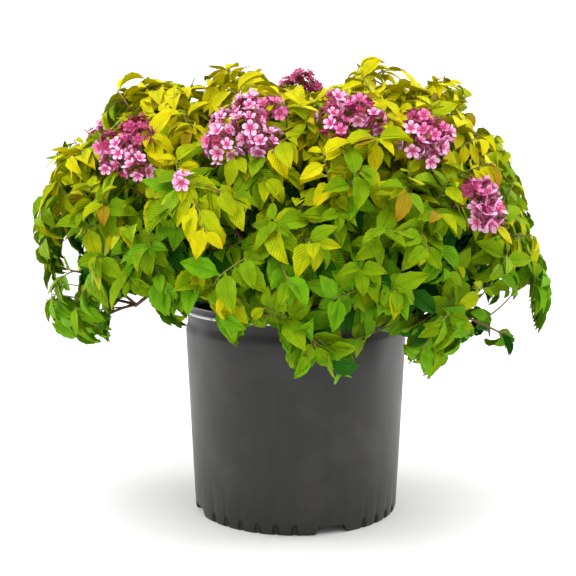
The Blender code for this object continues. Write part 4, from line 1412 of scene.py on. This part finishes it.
# %% Leaf pieces
def leaf_finish(name, colour, tip, vein):
    """A leaf's skin: veins by its own chart, a tip of another tint, a soft mottle and a fine grain."""
    finish = Finish(name, 0.6, specular=0.06)
    chart = finish.node("ShaderNodeUVMap", {"uv_map": "leaf"})
    parts = finish.node("ShaderNodeSeparateXYZ", values=(chart,)).socket.node.outputs
    across, along = (Wire(finish, parts["X"]) - 0.5).size(), Wire(finish, parts["Y"])
    midrib = 1.0 - across.ramp(0.006, 0.022)
    side_veins = ((along * 62.0 - across * 95.0).sine() * 0.5 + 0.5) ** 6
    mottle = finish.noise(75.0, detail=3.0)
    skin = finish.blend(mottle.ramp(0.32, 0.68), shade(colour, 0.80), shade(colour, 1.16))
    skin = finish.blend((along + mottle * 0.8 - 0.4).ramp(0.45, 1.05) * 0.75, skin, tip)
    finish.colour(finish.blend(midrib * 0.55 + side_veins * 0.20, skin, vein))
    finish.roughness(finish.noise(160.0) * 0.18 + 0.48)
    finish.bump(side_veins * -0.6 - midrib + finish.noise(420.0, detail=4.0) * 0.5, 0.0009)
    return finish


ring_nodes = {ring.name: [f"foliage_{mass.name}" for mass in masses if mass.ring is ring] for ring in RINGS}
tint_nodes = {"lime": ring_nodes["shoulder"], "green": ring_nodes["skirt"], "deep": foliage_nodes}
for tint, (_, colour, tip, slot) in TINTS.items():
    finish = leaf_finish(f"leaf_{tint}", colour, tip, shade(colour, 1.35))
    piece = strew(f"leaves_{tint}", leaf_spots[tint], leaf_shapes, finish)
    keep(piece, slot, *tint_nodes.get(tint, ring_nodes["top"] + ring_nodes["upper"]))
drop(leaf_shapes)

# %% [markdown]
# ## Blossom
#
# A flower head is a cluster of domes, one in the middle and six smaller ones round it, each of its own age.
# Florets stand over each dome by the golden angle again, and a stalk runs from the head's base to every third
# one. A floret has five round petals about a darker cup, with thin stamens that stand above them. Fresh ones
# are pale pink, older ones rose, and the oldest a dull dark rose. A layer of the same dull dark rose under each
# dome is partly older florets and partly painted shade in the gaps between the upper ones. The smallest heads
# are one bloom.

# %% Floret shapes
PETAL_ROWS = ((0.30, 0.17), (0.55, 0.34), (0.82, 0.31))  # distance from the middle, half width


def whorl_shape(name, cup):
    """Five petals round +Z, with a radius of one."""
    points, faces = [], []
    for petal in range(5):
        turn = Matrix.Rotation(2 * math.pi * petal / 5, 3, "Z")
        base = len(points)
        points.append(turn @ Vector((0.10, 0, 0.0)))
        for reach, half in PETAL_ROWS:
            for side in (-1, 0, 1):
                lift = cup * reach**2 + 0.10 * abs(side) - 0.02 * petal
                points.append(turn @ Vector((reach, side * half, lift)))
        points.append(turn @ Vector((1.0, 0, cup * 0.8)))
        faces += [(base, base + 1, base + 2), (base, base + 2, base + 3)]
        for row in range(2):
            low, high = base + 1 + row * 3, base + 4 + row * 3
            faces += [(low + side, high + side, high + side + 1, low + side + 1) for side in range(2)]
        faces += [(base + 7, base + 10, base + 8), (base + 8, base + 10, base + 9)]
    thing = link_mesh(name, points, faces)
    thing.data.shade_smooth()
    lay_chart(thing, "petal", [(0.5, math.hypot(point.x, point.y)) for point in points])
    return thing


def cup_shape(name):
    """The floret's middle, and the stamens that rise from it."""
    sides = 7
    points = [Vector((0, 0, 0.16))]
    for step in range(sides):
        turn = 2 * math.pi * step / sides
        points.append(Vector((0.24 * math.cos(turn), 0.24 * math.sin(turn), 0.02)))
    faces = [(0, 1 + step, 1 + (step + 1) % sides) for step in range(sides)]
    for stamen in range(8):
        turn = 2 * math.pi * (stamen + 0.3) / 8
        out = Vector((math.cos(turn), math.sin(turn), 0))
        side = Vector((-out.y, out.x, 0)) * 0.035
        base = len(points)
        root, bend = out * 0.14, out * 0.52 + Vector((0, 0, 0.62))
        points += [root - side, root + side, bend + side, bend - side, out * 0.60 + Vector((0, 0, 0.74))]
        faces += [(base, base + 1, base + 2, base + 3), (base + 3, base + 2, base + 4)]
    return link_mesh(name, points, faces)


def bud_shape(name):
    """A round bud, with a radius of one."""
    bud = bmesh.new()
    bmesh.ops.create_icosphere(bud, subdivisions=1, radius=1.0)
    thing = settle(name, bud)
    thing.data.shade_smooth()
    return thing


whorls = [whorl_shape("whorl_open", 0.12), whorl_shape("whorl_cupped", 0.45)]
cups = [cup_shape("cup")]
buds = [bud_shape("bud")]
print(f"a whorl has {len(whorls[0].data.polygons)} faces")

# %% Domes of a head
BLOOM_TINTS = {  # a petal's colour, and its colour at the floret's middle
    "pale": ((0.950, 0.560, 0.810), (0.640, 0.050, 0.280)),
    "rose": ((0.830, 0.240, 0.510), (0.420, 0.020, 0.130)),
    "faded": ((0.450, 0.070, 0.170), (0.190, 0.012, 0.045)),
}
CUP_COLOUR = (0.600, 0.060, 0.190)
BUD_COLOUR = (0.450, 0.050, 0.110)
CLUSTERS = 6  # smaller domes that a head is made of
CLUSTER_SHARES = (0.28, 0.54)  # their radius, as a share of the head's
CLUSTER_REACH = (0.42, 1.06)  # how far from its middle they stand, in the same measure
MIDDLE_DOME = (0.14, 0.50)  # how far out the middle dome stands, and its radius
SINGLE_DOME = (0.0, 0.45)


def domes_of(head, first, chance):
    """The middle and radius of each dome of florets that a head is made of."""
    axis = head.outwards
    single = head.radius < SINGLE_BLOOM
    rise, share = SINGLE_DOME if single else MIDDLE_DOME
    domes = [(head.centre + axis * head.radius * rise, head.radius * share)]
    for number in range(0 if single else CLUSTERS):
        turn = first + 2 * math.pi * number / CLUSTERS + chance.uniform(-0.25, 0.25)
        reach = head.radius * chance.uniform(*CLUSTER_REACH)
        sunk = axis * head.radius * chance.uniform(-0.12, 0.26)
        middle = head.centre + spoke(axis, perpendicular(axis), turn) * reach - sunk
        domes.append((middle, head.radius * chance.uniform(*CLUSTER_SHARES)))
    return domes


print(f"{1 + CLUSTERS} domes to a head")

# %% Floret spots
FLORET_RADIUS = 0.0069
DOME_FLORETS = 2.3  # florets for each floret's own area of a dome's disc
OPENING = math.radians(96)
FLATTENING = 0.75
BUD_RADIUS = 0.0016
BUD_GAP = 0.0024

chance = random.Random(SEED + 3)
floret_spots = {tint: [] for tint in BLOOM_TINTS}
cup_spots, bud_spots, stalks = [], [], []
for head in heads:
    radius = FLORET_RADIUS * head.floret
    base = head.centre - head.outwards * head.radius * 0.8
    single = head.radius < SINGLE_BLOOM
    first = chance.uniform(0, 2 * math.pi)
    for middle, dome in domes_of(head, first, chance):
        age = head.faded + chance.gauss(0, 0.26)
        tilt = (head.outwards + (middle - head.centre) / head.radius * 0.7).normalized()
        side = perpendicular(tilt)
        count = max(4 if single else 3, int(DOME_FLORETS * (dome / radius) ** 2))
        for number in range(count):
            opening = math.acos(1 - (1 - math.cos(OPENING)) * (number + 0.5) / count)
            around = spoke(tilt, side, first + number * GOLDEN_ANGLE)
            outwards = around * math.sin(opening) + tilt * math.cos(opening)
            flat = outwards - tilt * outwards.dot(tilt) * (1 - FLATTENING)
            spot = middle + flat * dome * chance.uniform(0.86, 1.02)
            jitter = Vector((chance.gauss(0, 0.22), chance.gauss(0, 0.22), chance.gauss(0.1, 0.22)))
            facing = (outwards + jitter).normalized()
            axes = axes_from(perpendicular(facing), facing)
            own_age = age + 0.38 * (spot.z - head.centre.z) / head.radius + chance.gauss(0, 0.12)
            tint = "faded" if own_age > 0.70 else "rose" if own_age > 0.42 else "pale"
            size = radius * chance.uniform(0.85, 1.15) * (0.9 if tint == "faded" else 1.0)
            if chance.random() < 0.10 and head.floret == 1:
                bud_spots += [Spot(spot + side * BUD_GAP * step, axes, BUD_RADIUS, 0) for step in (-1, 0, 1)]
            else:
                floret_spots[tint].append(Spot(spot, axes, size, 1 if tint == "faded" else 0))
                cup_spots.append(Spot(spot, axes, size, 0))
            if not single:
                # A layer of dull dark rose florets under each dome: partly older florets, partly painted shade
                # in the gaps between the upper ones.
                under = middle + flat * dome * 0.72
                floret_spots["faded"].append(Spot(under, axes, radius * 0.95, 1))
            if number % 3 == 0:
                halfway = base.lerp(spot, 0.55)
                stalks.append(Twig(sampled((base, halfway, spot - facing * 0.0008), 3), 0.0006, 0.0004))
print({tint: len(spots) for tint, spots in floret_spots.items()}, len(bud_spots), "buds")

# %% Blossom pieces
def petal_finish(name, colour, heart=None):
    """A petal's skin, darker towards the floret's middle where a heart colour is given."""
    finish = Finish(name, 0.6, specular=0.15)
    mottle = finish.noise(500.0, detail=2.0)
    skin = finish.blend(mottle.ramp(0.35, 0.65), shade(colour, 0.85), shade(colour, 1.08))
    if heart:
        chart = finish.node("ShaderNodeUVMap", {"uv_map": "petal"})
        outwards = finish.node("ShaderNodeSeparateXYZ", values=(chart,), output="Y")
        skin = finish.blend((outwards + mottle * 0.2).ramp(0.28, 0.72), heart, skin)
    finish.colour(skin)
    finish.bump(finish.noise(900.0), 0.0003)
    return finish


crown_tops = ring_nodes["top"] + ring_nodes["upper"] + ring_nodes["shoulder"]
for tint, (colour, heart) in BLOOM_TINTS.items():
    finish = petal_finish(f"petal_{tint}", colour, heart)
    keep(strew(f"petals_{tint}", floret_spots[tint], whorls, finish), "foliage_gold", *crown_tops)
cup_finish = petal_finish("floret_cup", CUP_COLOUR)
keep(strew("floret_cups", cup_spots, cups, cup_finish), "foliage_gold", *crown_tops)
keep(strew("buds", bud_spots, buds, petal_finish("bud", BUD_COLOUR)), "foliage_gold", *crown_tops)
drop(whorls + cups + buds)
keep(tubes("flower_stalks", stalks, green_wood, 4), "bark", *crown_tops)

# %% [markdown]
# ## Measure and finish
#
# The box of the imported model and that of the dressed plant are printed, as their sizes along each axis. The
# dressed plant may stand only a little proud of the imported model.

# %% Finish
visual_box = [list(corner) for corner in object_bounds()]
for label, box in (("packed", cad_box), ("dressed", visual_box)):
    print(label, [round(high - low, 4) for low, high in zip(*box)])
